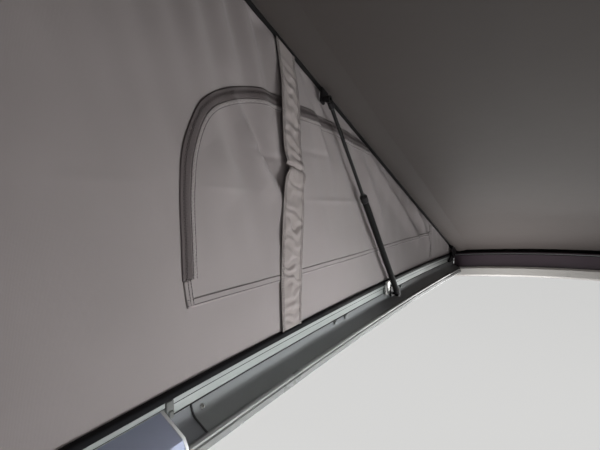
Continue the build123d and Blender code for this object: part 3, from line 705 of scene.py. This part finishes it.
def side_canvas(name, side):
    """A side wall with its net window, tucked into the gasket and under the roof's edge."""
    mesh = grid_of(330, 145)
    for vertex in mesh.verts:
        u, v = share_of(vertex)
        low_x = CANVAS_REAR + u * (END - CANVAS_REAR)
        high_x = CANVAS_REAR + u * (FRONT_TOP_X - CANVAS_REAR)
        foot = skin(low_x) + GASKET_TOP - FOOT_TUCK
        top = roof_edge(high_x) + TOP_TUCK
        x = low_x + v * (high_x - low_x)
        z = foot + v * (top - foot)
        vertex.co = on_wall(x, z, side, -CANVAS_BEHIND)
    if side > 0:
        bmesh.ops.reverse_faces(mesh, faces=mesh.faces)
    piece = piece_from(mesh, f"wall_canvas_{name}", "canvas", "frame")
    settle(piece, CANVAS_THICKNESS)
    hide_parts(f"canvas_{name}")
    extras = outer_dressing(name, side)
    for each in [piece, *extras]:
        soft(each)


# The front canvas gives a little all over, and slack folds fan out from its upper corners
FRONT_TUCK = 0.003
FRONT_GIVE = 0.005
SMALL_GIVE = 0.002
FAN_DEPTH = 0.0028
FAN_FOLDS = 22
FAN_REACH = 0.20
FRONT_HEIGHT = 0.95
TOP_FLATTER = 0.15


def front_point(y, share, lift=0.0):
    """A point of the front canvas at y and a share of its height, lifted off it outwards."""
    foot_z = skin(END) + GASKET_TOP - FRONT_TUCK
    top_z = roof_edge(FRONT_TOP_X)
    spot = Vector((y * 2.2, share * 2.4, 7.0))
    loose = min(1, 12 * min(share, 1 - share), 8 * (1 - abs(y) / WALL))
    give = FRONT_GIVE * noise.noise(spot) + SMALL_GIVE * noise.noise(spot * 3)
    corner = Vector((abs(y) - WALL, (share - 1) * FRONT_HEIGHT))
    give += FAN_DEPTH * sin(atan2(corner.y, corner.x) * FAN_FOLDS) * exp(-corner.length / FAN_REACH)
    x = END + (FRONT_TOP_X - END) * share + loose * give + lift
    z = foot_z + share * (top_z - foot_z) + crown(y) * (1 - TOP_FLATTER * share)
    return Vector((x, y, z))


def front_strip(name, start, end, half, lift):
    """A strip of cloth on the front canvas between two points, each its y and share of the height."""

    def point(u, v):
        y = start[0] + (end[0] - start[0]) * u
        share = start[1] + (end[1] - start[1]) * u
        off = (v - 0.5) * 2 * half
        if start[0] == end[0]:
            y += off
        else:
            share += off
        return front_point(y, share, lift + 0.0005 * sin(pi * v))

    return laid_out(name, "canvas", 60, 4, TAPE_THICKNESS, point)


# The front canvas's upright strips, as (name, y, half width), and its hem as a share of the height
FRONT_STRIPS = [("seam", 0.330, 0.011), ("edge", WALL - 0.014, 0.012)]
STRIP_FOOT = 0.012
STRIP_TOP = 0.988
STRIP_LIFT = 0.0016
HEM_HALF_LENGTH = WALL - 0.002
HEM_HEIGHT = 0.022
HEM_HALF = 0.016


def front_canvas():
    """The front wall with its seams, edges and hem."""

    def point(u, v):
        return front_point((u - 0.5) * 2 * (WALL - 0.001), v)

    piece = laid_out("wall_canvas_front", "canvas", 170, 120, CANVAS_THICKNESS, point)
    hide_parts("canvas_front")
    extras = []
    for name, side in SIDES.items():
        for face, lift in (("out", STRIP_LIFT), ("in", -STRIP_LIFT)):
            for kind, y, half in FRONT_STRIPS:
                foot = (side * y, STRIP_FOOT)
                top = (side * y, STRIP_TOP)
                extras.append(front_strip(f"front_{kind}_{name}_{face}", foot, top, half, lift))
    right_end = (-HEM_HALF_LENGTH, HEM_HEIGHT)
    left_end = (HEM_HALF_LENGTH, HEM_HEIGHT)
    extras.append(front_strip("front_foot_hem", right_end, left_end, HEM_HALF, STRIP_LIFT))
    for each in [piece, *extras]:
        soft(each)


# Window flaps: a zipped arch in each side canvas. A strip has its finish, its route, both edges'
# offsets and lifts, its columns, pitch and puff. A row of stitches is as stitch_rows takes it.
ZIP_ROUTE = [
    (0.575, 0.216), (0.5755, 0.262), (0.576, 0.345), (0.568, 0.432), (0.528, 0.495), (0.468, 0.522),
    (0.390, 0.538), (0.310, 0.532), (0.234, 0.525), (0.090, 0.510), (-0.075, 0.480), (-0.125, 0.473),
]
SIDE_HEM = [(0.5838, 0.216), (0.581, 0.196), (0.5784, 0.1745)]
HEM_LINE = [(0.5784, 0.1737), (0.550, 0.1727), (0.200, 0.1690), (-0.300, 0.166), (-0.795, 0.166)]
REAR_SEAM = [(-0.792, 0.206), (-0.797, 0.150), (-0.803, 0.066)]
FLAP_STRIPS = {
    "zip_tape": ("zip_tape", ZIP_ROUTE, (-0.0102, 0.0102), (0.0019, 0.0005), 8, 0.005, 0),
    "zip_welt": ("canvas", ZIP_ROUTE, (-0.0100, -0.0200), (0.0019, 0.0014), 8, 0.005, 0.0006),
    "flap_side_hem": ("canvas", SIDE_HEM, (0, 0.0155), (0.0009, 0.0016), 6, 0.004, 0.0004),
    "flap_hem": ("canvas", HEM_LINE, (-0.0010, 0.0135), (0.0010, 0.0011), 6, 0.008, 0.0002),
    "rear_seam_tape": ("canvas", REAR_SEAM, (-0.011, 0.011), (0.0008, 0.0008), 4, 0.006, 0.0003),
}
DARK_ROWS = [
    (ZIP_ROUTE, -0.0112, -0.0112, 0.0026),
    (ZIP_ROUTE, -0.0190, -0.0190, 0.0022),
    (SIDE_HEM, 0.0075, 0.0075, 0.0023),
    (SIDE_HEM, 0.0135, 0.0135, 0.0024),
    (HEM_LINE, 0.0025, 0.0025, 0.0018),
    (HEM_LINE, 0.0118, 0.0118, 0.0017),
    (REAR_SEAM, -0.008, -0.008, 0.0017),
    (REAR_SEAM, 0.008, 0.008, 0.0017),
]
PALE_ROWS = [(ZIP_ROUTE, -0.0130, -0.0172, 0.0030)]
ARCH = along(ZIP_ROUTE, 0.004)
FLAP_REAR = -0.795
FLAP_FRONT = 0.5755
FLAP_FOOT = 0.1665
FLAP_FOOT_RISE = 0.007
FLAP_THICKNESS = 0.0011
FLAP_LIFT = 0.0007
TOOTH = (0.0019, 0.0012, 0.0042)
TOOTH_PITCH = 0.0028
TOOTH_OFF = 0.0012
TOOTH_LIFT = 0.0018


def arch_top(x):
    """Height of the zip's line at x, or of the roof's edge behind its end."""
    if x < ARCH[-1].x:
        return roof_edge(x) - 0.004
    return max(spot.y for spot in ARCH if abs(spot.x - x) < 0.006)


def zip_coil(name, side):
    """Teeth of the zip along the middle of its tape."""
    whole = bmesh.new()
    spots = along(ZIP_ROUTE, TOOTH_PITCH)
    for index, spot in enumerate(spots):
        way = tangent(spots, index)
        off = TOOTH_OFF if index % 2 else -TOOTH_OFF
        seat = on_wall(spot.x + way.y * off, spot.y - way.x * off, side, TOOTH_LIFT)
        turn = Matrix.Rotation(-atan2(way.y, way.x), 4, "Y")
        tooth = Matrix.Translation(seat) @ turn @ Matrix.Diagonal((*TOOTH, 1))
        bmesh.ops.create_cube(whole, size=1.0, matrix=tooth)
    return piece_from(whole, name, "zip_coil", "frame", smooth=False)


def flap_sheet(name, side):
    """The flap's cloth between its zip, hem and the roof's edge."""
    mesh = grid_of(260, 90)
    for vertex in mesh.verts:
        u, v = share_of(vertex)
        x = FLAP_REAR + u * (FLAP_FRONT - FLAP_REAR)
        foot = FLAP_FOOT + FLAP_FOOT_RISE * max(0, x) / FLAP_FRONT
        z = foot + v * (arch_top(x) - foot)
        vertex.co = on_wall(x, z, side, FLAP_LIFT)
    if side > 0:
        bmesh.ops.reverse_faces(mesh, faces=mesh.faces)
    return settle(piece_from(mesh, f"window_flap_{name}", "canvas", "frame"), FLAP_THICKNESS)


def window_flap(name, side):
    """A zipped window flap with all that is sewn to it."""
    flap = flap_sheet(name, side)
    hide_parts(f"flap_{name}")
    extras = [ribbon(f"{kind}_{name}", side, *strip) for kind, strip in FLAP_STRIPS.items()]
    extras.append(zip_coil(f"zip_teeth_{name}", side))
    for kind, finish, rows, pitch, length, radius in (
        ("flap", "thread", DARK_ROWS, 0.0050, 0.0044, 0.00052),
        ("welt", "pale_thread", PALE_ROWS, 0.0055, 0.0042, 0.0003),
    ):
        extras.append(stitch_rows(f"{kind}_stitches_{name}", finish, side, rows, pitch, length, radius))
    for piece in [flap, *extras]:
        soft(piece)


# The net window and the tapes outside, which lie behind the side canvas's inner face
NET_INSET = 0.030
NET_FRONT = 0.5455
NET_REAR = -0.560
NET_FOOT = 0.205
NET_CORNER = 0.10
NET_THICKNESS = 0.0006
OUTER_LIFT = -0.0026
BINDING_LIFT = -0.0034
OUTER_HEM_HEIGHT = 0.064


def net_top(x):
    """Height of the net window's upper edge at x, rounded off at its front corner."""
    top = min(arch_top(x), roof_edge(x) - 0.012) - NET_INSET
    corner = min(1, max(0, (NET_FRONT - x) / NET_CORNER))
    return top - NET_CORNER * (1 - sqrt(1 - (1 - corner) ** 2))


def outer_dressing(name, side):
    """Net window, its binding and the seam tapes on the outside of a side canvas."""

    def point(u, v):
        x = NET_REAR + u * (NET_FRONT - NET_REAR)
        return on_wall(x, NET_FOOT + v * (net_top(x) - NET_FOOT), side, OUTER_LIFT)

    outline = [(x, NET_FOOT) for x in stations(NET_REAR, NET_FRONT, 28)]
    outline += [(x, net_top(x)) for x in stations(NET_FRONT, NET_REAR, 28)]
    outline.append((NET_REAR, NET_FOOT))
    foot = [(CANVAS_REAR + 0.02, skin(CANVAS_REAR) + GASKET_TOP + 0.012)]
    foot += [(x, skin(x) + OUTER_HEM_HEIGHT) for x in (-0.6, 0, 0.6)]
    foot.append((END - 0.004, skin(END) + OUTER_HEM_HEIGHT))
    low = (END - 0.017, skin(END) + GASKET_TOP + 0.004)
    high = (FRONT_TOP_X - 0.013, roof_edge(FRONT_TOP_X) - 0.002)
    rows = [
        (foot, -0.009, -0.009, BINDING_LIFT),
        (foot, 0.009, 0.009, BINDING_LIFT),
        (outline, 0.006, 0.006, -0.0040),
    ]
    extras = [laid_out(f"window_net_{name}", "net", 160, 60, NET_THICKNESS, point)]
    for tape, finish, route, half, lift, pitch, puff in (
        (f"net_binding_{name}", "zip_tape", outline, 0.009, BINDING_LIFT, 0.007, 0),
        (f"foot_hem_{name}", "canvas", foot, 0.012, OUTER_LIFT, 0.012, -0.0006),
        (f"corner_tape_{name}_out", "canvas", [low, high], 0.013, OUTER_LIFT, 0.006, 0),
        (f"corner_tape_{name}_in", "canvas", [low, high], 0.013, 0.0012, 0.006, 0),
    ):
        extras.append(ribbon(tape, side, finish, route, (-half, half), (lift, lift), 4, pitch, puff))
    extras.append(stitch_rows(f"outer_stitches_{name}", "thread", side, rows, 0.0075, 0.0052, 0.0005))
    return extras


# Straps that hang free in front of the flaps, between two edge lines of (x, z) points.
# A strap stands off the wall most at the share STAND_PLACE of its fall. Its kinks are
# (height, share of the fall, width), and its seams and turned edges are shares of its width.
STRAP_FRONT = along([
    (0.331, 0.6555), (0.3275, 0.637), (0.3240, 0.570), (0.3215, 0.494), (0.316, 0.430),
    (0.312, 0.414), (0.299, 0.405), (0.310, 0.394), (0.314, 0.370), (0.320, 0.319),
    (0.325, 0.225), (0.327, 0.159), (0.324, 0.080), (0.323, 0.060),
], 0.0012)
STRAP_REAR = along([
    (0.266, 0.631), (0.265, 0.601), (0.262, 0.584), (0.257, 0.519), (0.252, 0.430),
    (0.250, 0.414), (0.247, 0.404), (0.241, 0.394), (0.241, 0.370), (0.239, 0.316),
    (0.246, 0.181), (0.248, 0.120), (0.250, 0.076), (0.251, 0.060),
], 0.0012)
STAND_TOP = 0.0045
STAND_MOST = 0.0112
STAND_FOOT = 0.0037
STAND_PLACE = 0.16
PUCKER_DEPTH = 0.0023
PUCKERS = 22
CRUMPLE = 0.0020
KINKS = [(0.0045, 0.392, 0.018), (-0.0050, 0.414, 0.007), (0.0050, 0.440, 0.022)]
TURNED_EDGES = (0.085, 0.895)
TURNED_LIFT = 0.0007
STRAP_CLEARANCE = 0.0024
STRAP_THICKNESS = 0.0014
STRAP_SEAMS = (0.045, 0.105, 0.885, 0.950)
STRAP_STITCHES = 118
STRAP_STITCH_LIFT = 0.0009
STRAP_STITCH_RADIUS = 0.0006


def strap_stand(share, fall, side):
    """How far the strap stands off the wall; fall runs from its top to its foot."""
    if fall < STAND_PLACE:
        base = STAND_TOP + (STAND_MOST - STAND_TOP) * smooth_step(fall / STAND_PLACE)
    else:
        loss = smooth_step((fall - STAND_PLACE) / (1 - STAND_PLACE))
        base = STAND_MOST - (STAND_MOST - STAND_FOOT) * loss
    spot = Vector((share * 2.2, fall * 16, side * 2.0))
    ends = min(1, fall / 0.08, (1 - fall) / 0.06)
    middle = sin(pi * min(max(share, 0), 1)) ** 0.7
    slack = 0.45 + 1.3 * abs(noise.noise(spot * 0.6))
    wander = share * 2.8 + 6.0 * noise.noise(spot * 0.9)
    pucker = PUCKER_DEPTH * slack * sin(fall * 2 * pi * PUCKERS + wander)
    pucker += CRUMPLE * noise.noise(spot * 2.3)
    kink = sum(height * exp(-(((fall - place) / width) ** 2)) for height, place, width in KINKS)
    turned = 0 if TURNED_EDGES[0] <= share <= TURNED_EDGES[1] else TURNED_LIFT
    return base + ends * (pucker * middle + kink) + turned


def strap_point(share, fall, side, lift=0.0):
    """A point of the strap between its two edge lines."""
    ahead = STRAP_FRONT[round(fall * (len(STRAP_FRONT) - 1))]
    behind = STRAP_REAR[round(fall * (len(STRAP_REAR) - 1))]
    spot = behind.lerp(ahead, share)
    clear = wall_form(spot.x, spot.y, side) + STRAP_CLEARANCE
    stand = max(strap_stand(share, fall, side), clear)
    return Vector((spot.x, side * (WALL - stand - lift), spot.y))


def hanging_strap(name, side):
    """A strap with its rows of stitches."""

    def point(u, v):
        return strap_point(u, 1 - v, side)

    strap = laid_out(f"hanging_strap_{name}", "strap", 36, 330, STRAP_THICKNESS, point)
    seams = bmesh.new()
    for share in STRAP_SEAMS:
        for index in range(STRAP_STITCHES):
            top = strap_point(share, (index + 0.15) / STRAP_STITCHES, side, STRAP_STITCH_LIFT)
            foot = strap_point(share, (index + 0.85) / STRAP_STITCHES, side, STRAP_STITCH_LIFT)
            stitch(seams, top, foot, STRAP_STITCH_RADIUS)
    rows = piece_from(seams, f"strap_stitches_{name}", "thread", "frame")
    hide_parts(f"strap_{name}")
    soft(strap)
    soft(rows)


# Rubber bead along the canvas's foot, as (s, h) points
BEAD = [
    (0.6360, 0.0410), (0.6360, 0.0376), (0.6342, 0.0374), (0.6328, 0.0388), (0.6325, 0.0420),
    (0.6327, 0.0458), (0.6338, 0.0486), (0.6360, 0.0502), (0.6400, 0.0506), (0.6450, 0.0503),
    (0.6485, 0.0488), (0.6499, 0.0458), (0.6499, 0.0410),
]
BEAD_REAR = -1.227
BEAD_FRONT = END - 0.012
FRONT_SHIFT = END - WALL


def bead_from(rings, name):
    """One length of the bead, in place of its gasket."""
    bead = piece_from(swept(rings), f"gasket_bead_{name}", "rubber", "frame")
    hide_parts(f"gasket_{name}")


def gasket_beads():
    """The bead runs along both sides and across the front, mitred at the front corners."""
    for name, side in SIDES.items():
        rings = []
        for x in stations(BEAD_REAR, BEAD_FRONT, 120):
            rings.append([at_section(x, s, h, side) for s, h in BEAD])
        rings.append([at_section(FRONT_SHIFT + s, s, h, side) for s, h in BEAD])
        bead_from(rings, name)
    rings = []
    for share in stations(-1, 1, 60):
        ring = []
        for s, h in BEAD:
            ring.append(Vector((FRONT_SHIFT + s, share * s, skin(END) + crown(share * s) + h)))
        rings.append(ring)
    bead_from(rings, "front")


# Rolled lower edge of the headliner, as (s, z) points with the roof shut
ROLL = [
    (0.6305, 0.0820), (0.6305, 0.0735), (0.6285, 0.0710), (0.6245, 0.0699), (0.6180, 0.0696),
    (0.6100, 0.0706), (0.6000, 0.0726), (0.5900, 0.0752), (0.5800, 0.0779), (0.5700, 0.0806),
    (0.5600, 0.0828), (0.5520, 0.0843), (0.5520, 0.0860),
]
ROLL_REAR = -1.217
ROLL_FRONT = 1.180


def headliner_roll():
    """The roll runs along both sides and across the front, mitred at the front corners."""
    rings = []
    for x in stations(ROLL_REAR, ROLL_FRONT, 60):
        rings.append([Vector((x, -s, z)) for s, z in ROLL])
    for share in stations(-1, 1, 40):
        ring = []
        for s, z in ROLL:
            ring.append(Vector((FRONT_SHIFT + s, share * s, z + crown(share * s) - crown(s))))
        rings.append(ring)
    for x in stations(ROLL_FRONT, ROLL_REAR, 60):
        rings.append([Vector((x, s, z)) for s, z in ROLL])
    mesh = swept([[RAISE @ point for point in ring] for ring in rings])
    roll = piece_from(mesh, "headliner_roll", "roll", "roof")


# Small pieces on the inner trims, whose sections are lines of (s, h) points. A dark line of painted
# groove shade has its section and its front end. A clip, its corner's clips and the spring's pad are
# each a place (x, s, h), a size and the radius of its edges.
GROOVE_SHADE_REAR = -1.222
GROOVE_SHADE_LINES = [
    ([(0.6401, 0.0256), (0.6393, 0.0256), (0.6393, 0.0272), (0.6401, 0.0272)], 1.232),
    ([(0.6401, 0.0094), (0.6386, 0.0094), (0.6393, 0.0112), (0.6401, 0.0112)], TRIM_JOINT),
]
COVER_EDGE = [
    (0.641, 0.0262), (0.596, -0.0028), (0.5898, -0.0166), (0.5898, -0.0572),
    (0.5925, -0.0572), (0.5925, -0.0162), (0.5985, -0.0040), (0.641, 0.0222),
]
COVER_EDGE_ENDS = (0.6302, 0.6352)
CHANNEL_FACE = [
    (0.6400, 0.0095), (0.6375, -0.0010), (0.6355, -0.0070),
    (0.6320, -0.0112), (0.6265, -0.0152), (0.6070, -0.0280),
]
CHANNEL_END_HALF = 0.0013
CLIPS = [((x, 0.6365, 0.0045), (0.012, 0.008, 0.0045), 0.0012) for x in (0.084, 0.026, -0.415, -0.947)]
CORNER_CLIP = [
    ((0.6200, 0.6375, 0.0250), (0.015, 0.022, 0.004), 0.0018),
    ((0.6200, 0.6365, 0.0150), (0.009, 0.012, 0.006), 0.0018),
]
SPRING_PAD = [((-0.272, 0.6335, 0.0265), (0.034, 0.042, 0.008), 0.0024)]
FLANGE_SCREWS = (-1.10, -0.70, -0.45, -0.15, 0.15, 0.45, 0.70, 1.10)


def trim_details(name, side):
    """Dark lines of painted groove shade, the cover's edge, clips, the spring's pad, painted shade at the
    channel's end, and screws.
    """
    lines = [side_sweep(section, side, GROOVE_SHADE_REAR, front_x) for section, front_x in GROOVE_SHADE_LINES]
    piece_from(joined(lines), f"trim_groove_shade_{name}", "line", "frame")
    strip = side_sweep(COVER_EDGE, side, *COVER_EDGE_ENDS, 2)
    piece_from(strip, f"cover_edge_strip_{name}", "cover_edge", "frame")
    for kind, finish, rows in (
        ("trim_clips", "channel", CLIPS),
        ("corner_clip", "clip", CORNER_CLIP),
        ("spring_pad", "screw", SPRING_PAD),
    ):
        placed = [(frame_at(*spot, side), size, radius) for spot, size, radius in rows]
        blocks(f"{kind}_{name}", finish, "frame", placed)
    # A near-black plate over the gap at the channel's end: painted shade.
    inner = [(s - 0.0014, h + 0.0012) for s, h in CHANNEL_FACE]
    outer = [(s + 0.0006, h + 0.0006) for s, h in CHANNEL_FACE]
    ends = (CHANNEL_END - CHANNEL_END_HALF, CHANNEL_END + CHANNEL_END_HALF)
    gap_shade_plate = side_sweep(inner + outer[::-1], side, *ends, 2)
    piece_from(gap_shade_plate, f"channel_gap_shade_{name}", "line", "frame")
    trim_screw = frame_at(0.5553, 0.6362, -0.002, side, radians(-28)) @ Matrix.Scale(0.8, 4)
    screws(f"trim_screws_{name}", "frame", [trim_screw])
    flange = []
    for x in FLANGE_SCREWS:
        turn = Matrix.Rotation(asin(x / ARC_ALONG), 4, "Y")
        flange.append(Matrix.Translation(at_section(x, 0.680, 0.0045, side)) @ turn)
    screws(f"flange_screws_{name}", "frame", flange)


# Fittings of the gas springs, as (height, radius) steps: on the cylinder from its foot or its top,
# and on the rod from its head
FOOT_COLLAR = [(0.009, 0.0091), (0.011, 0.0098), (0.024, 0.0098), (0.026, 0.0091)]
TOP_COLLAR = [(-0.020, 0.0091), (-0.018, 0.0102), (-0.002, 0.0102), (0, 0.0092)]
SEAL_RING = [(0, 0.0078), (0.004, 0.0074)]
ROD_END = [(-0.026, 0.0050), (-0.024, 0.0064), (-0.010, 0.0064)]


def spring_fittings(name, side):
    """Collars on a spring's cylinder and the fitting on its rod's end."""
    foot = Vector((SPRING_FOOT.x, side * SPRING_S, SPRING_FOOT.z))
    head = Vector((SPRING_HEAD.x, side * SPRING_S, SPRING_HEAD.z))
    way = head - foot
    low = Matrix.Translation(foot) @ way.to_track_quat("Z", "Y").to_matrix().to_4x4()
    top = low @ Matrix.Translation((0, 0, CYLINDER_LENGTH))
    collars = bmesh.new()
    barrel(collars, top, TOP_COLLAR)
    barrel(collars, top, SEAL_RING)
    barrel(collars, low, FOOT_COLLAR)
    piece_from(collars, f"spring_collars_{name}", "bracket", f"cylinder_{name}")
    fitting = bmesh.new()
    barrel(fitting, low @ Matrix.Translation((0, 0, way.length)), ROD_END)
    piece_from(fitting, f"spring_rod_end_{name}", "bracket", f"rod_{name}")


# Outer dressing of the shell. A rib's section has (offset, rise) points, and its ends taper off
# into the shell.
RIB_SINK = 0.0015
RIB_HALF = [(-0.024, -RIB_SINK), (-0.017, 0.0024), (-0.008, 0.0044)]
RIB = RIB_HALF + [(-off, rise) for off, rise in RIB_HALF[::-1]]
RIB_LINES = (-0.42, -0.14, 0.14, 0.42)
RIB_REAR = -1.06
RIB_FRONT = 1.02
RIB_TAPER = 0.09
RIB_END_WIDTH = 0.55


def shell_ribs():
    """Low ribs along the top of the shell, laid on its own faces."""
    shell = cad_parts["roof_shell"]
    mesh = bmesh.new()
    mesh.from_mesh(shell.data)
    mesh.transform(shell.matrix_world)
    tree = BVHTree.FromBMesh(mesh)
    mesh.free()
    down = RAISE.to_3x3() @ Vector((0, 0, -1))
    ribs = []
    for y in RIB_LINES:
        rings = []
        for x in stations(RIB_REAR, RIB_FRONT, 60):
            spot, normal = tree.ray_cast(RAISE @ Vector((x, y, 0.6)), down)[:2]
            taper = smooth_step(min(x - RIB_REAR, RIB_FRONT - x) / RIB_TAPER)
            width = RIB_END_WIDTH + (1 - RIB_END_WIDTH) * taper
            ring = []
            for off, rise in RIB:
                height = (rise + RIB_SINK) * taper - RIB_SINK
                ring.append(spot + Vector((0, off * width, 0)) + normal * height)
            rings.append(ring)
        ribs.append(swept(rings))
    piece = piece_from(joined(ribs), "shell_ribs", "shell", "roof")


# The front latches' place with the roof shut, and their screws' place and size beside it
LATCH_X = END - 0.054
LATCH_Y = 0.350
LATCH_Z = 0.061
LATCH_SCREW_OFF = (-0.025, 0.025)


def latch_details(name, side):
    """A paddle and screws on a front latch."""
    y = side * LATCH_Y
    latch = RAISE @ Matrix.Translation((LATCH_X, y, LATCH_Z + crown(y)))
    rows = [
        (latch @ Matrix.Translation((-0.008, 0, -0.001)), (0.040, 0.042, 0.006), 0.0018),
        (latch @ Matrix.Translation((-0.030, 0, -0.003)), (0.008, 0.034, 0.008), 0.0020),
    ]
    blocks(f"latch_paddle_{name}", "latch", "roof", rows)
    flip = Matrix.Rotation(pi, 4, "X") @ Matrix.Scale(0.7, 4)
    places = [latch @ Matrix.Translation((0.010, off, 0)) @ flip for off in LATCH_SCREW_OFF]
    screws(f"latch_screws_{name}", "roof", places)


for side_name, side_sign in SIDES.items():
    side_canvas(side_name, side_sign)
    window_flap(side_name, side_sign)
    hanging_strap(side_name, side_sign)
    trim_details(side_name, side_sign)
    spring_fittings(side_name, side_sign)
    latch_details(side_name, side_sign)
front_canvas()
gasket_beads()
headliner_roll()
shell_ribs()


# Stage, lamps and camera

FLOOR_Z = -1.9
FLOOR_RADIUS = 60
PALE = (0.80, 0.79, 0.77)
GLOW = (0.74, 0.74, 0.73, 1)
GLOW_SHARE = 0.75


def shows_background(tree):
    """1 for a ray that shows the background: from the camera, off gloss or through glass."""
    path = tree.nodes.new("ShaderNodeLightPath")
    seen = math_of(tree, "MAXIMUM", path.outputs["Is Camera Ray"], path.outputs["Is Glossy Ray"])
    return math_of(tree, "MAXIMUM", seen, path.outputs["Is Transmission Ray"])


def blend(tree, share, first, second, output):
    """Mixes two shaders by a share and gives the result to the tree's output."""
    mixer = tree.nodes.new("ShaderNodeMixShader")
    tree.links.new(share, mixer.inputs["Fac"])
    tree.links.new(first, mixer.inputs[1])
    tree.links.new(second, mixer.inputs[2])
    tree.links.new(mixer.outputs["Shader"], tree.nodes[output].inputs["Surface"])


def pale_floor():
    """A wide pale floor that glows a little where it shows as the background."""
    mesh = bmesh.new()
    bmesh.ops.create_circle(mesh, cap_ends=True, segments=96, radius=FLOOR_RADIUS)
    bmesh.ops.translate(mesh, verts=mesh.verts, vec=(0, 0, FLOOR_Z))
    data = bpy.data.meshes.new("floor")
    mesh.to_mesh(data)
    mesh.free()
    floor = bpy.data.objects.new("floor", data)
    bpy.context.scene.collection.objects.link(floor)
    material, tree, shader = shader_of("pale_floor", PALE, 0.8, specular=0.2)
    mottle(tree, shader, PALE, spread=0.015, scale=0.7, detail=3)
    glow = tree.nodes.new("ShaderNodeEmission")
    glow.inputs["Color"].default_value = GLOW
    share = math_of(tree, "MULTIPLY", shows_background(tree), GLOW_SHARE)
    blend(tree, share, shader.outputs["BSDF"], glow.outputs["Emission"], "Material Output")
    data.materials.append(material)


def lamp(name, spot, aim, size, power, colour=(1, 1, 1), glossy=True, spread=180):
    """An area lamp at a spot that looks at its aim; its size is in metres and its power in watts."""
    data = bpy.data.lights.new(name, "AREA")
    data.shape = "RECTANGLE"
    data.spread = radians(spread)
    data.size, data.size_y = size
    data.energy = power
    data.color = colour
    light = bpy.data.objects.new(name, data)
    bpy.context.scene.collection.objects.link(light)
    light.location = spot
    light.rotation_euler = (Vector(aim) - Vector(spot)).to_track_quat("-Z", "Y").to_euler()
    light.visible_camera = False
    light.visible_glossy = glossy


pale_floor()
COOL = (0.96, 0.99, 1.0)
WARM = (1.0, 0.95, 0.91)
lamp("lamp_under", (-0.1, 0.0, -0.62), (0.0, 0.0, 1.0), (1.9, 1.1), 3.7, glossy=False, spread=120)
lamp("lamp_low_left", (-0.50, 0.60, -0.85), (0.24, -0.64, -0.30), (0.34, 0.34), 7.0, COOL, False, 64)
lamp("lamp_rear", (-2.60, -0.32, -0.60), (0.10, -0.50, 0.05), (1.4, 0.8), 15)
lamp("lamp_rear_up", (-0.90, -0.38, -0.60), (-0.95, -0.36, 0.20), (0.5, 0.5), 2.8, glossy=False, spread=80)
lamp("lamp_folds", (-0.60, 0.45, -0.08), (0.70, -0.64, 0.32), (0.25, 0.15), 0.5, WARM, False, 66)
lamp("lamp_front", (1.00, 0.35, -0.10), (0.55, -0.64, 0.25), (0.4, 0.2), 0.6, WARM, False, 120)
lamp("lamp_trims", (0.44, 0.45, 0.04), (0.56, -0.64, -0.22), (1.4, 0.05), 1.75, glossy=False, spread=28)
lamp("lamp_over", (1.5, -2.0, 6.5), (0, 0, 0.3), (8.0, 8.0), 240)
lamp("lamp_side", (-3.6, 3.8, 2.6), (0, 0, 0.2), (3.5, 3.5), 80)

world = bpy.data.worlds.new("studio")
bpy.context.scene.world = world
world.use_nodes = True
sky = world.node_tree
background = sky.nodes["Background"]
background.inputs["Color"].default_value = (0.95, 0.96, 1.0, 1)
background.inputs["Strength"].default_value = 0.28
shown = sky.nodes.new("ShaderNodeBackground")
shown.inputs["Color"].default_value = (0.86, 0.86, 0.85, 1)
shown.inputs["Strength"].default_value = 1.0
lit, seen = background.outputs["Background"], shown.outputs["Background"]
blend(sky, shows_background(sky), lit, seen, "World Output")

# The camera's place, its yaw, pitch and roll in degrees, and its focal length in pixels
CAMERA_PLACE = (1.0445, -0.140, 0.35025)
CAMERA_TURN = (31.97, 4.30, -0.73)
FOCAL_PIXELS = 433.09
PHOTO_WIDTH = 600
SENSOR_WIDTH = 36


def photo_camera():
    """The photograph's viewpoint inside the raised roof."""
    yaw, pitch, roll = (radians(angle) for angle in CAMERA_TURN)
    ahead = Vector((-cos(yaw) * cos(pitch), -sin(yaw) * cos(pitch), -sin(pitch)))
    right = ahead.cross(Vector((0, 0, 1))).normalized()
    up = right.cross(ahead)
    right_tilted = right * cos(roll) + up * sin(roll)
    up_tilted = up * cos(roll) - right * sin(roll)
    data = bpy.data.cameras.new("camera")
    data.sensor_width = SENSOR_WIDTH
    data.lens = FOCAL_PIXELS / PHOTO_WIDTH * SENSOR_WIDTH
    data.clip_start = 0.02
    data.clip_end = 200
    camera = bpy.data.objects.new("camera", data)
    bpy.context.scene.collection.objects.link(camera)
    turn = Matrix((right_tilted, up_tilted, -ahead)).transposed().to_4x4()
    camera.matrix_world = Matrix.Translation(CAMERA_PLACE) @ turn
    bpy.context.scene.camera = camera


photo_camera()
bpy.context.scene.view_settings.view_transform = "Standard"

bpy.context.view_layer.update()
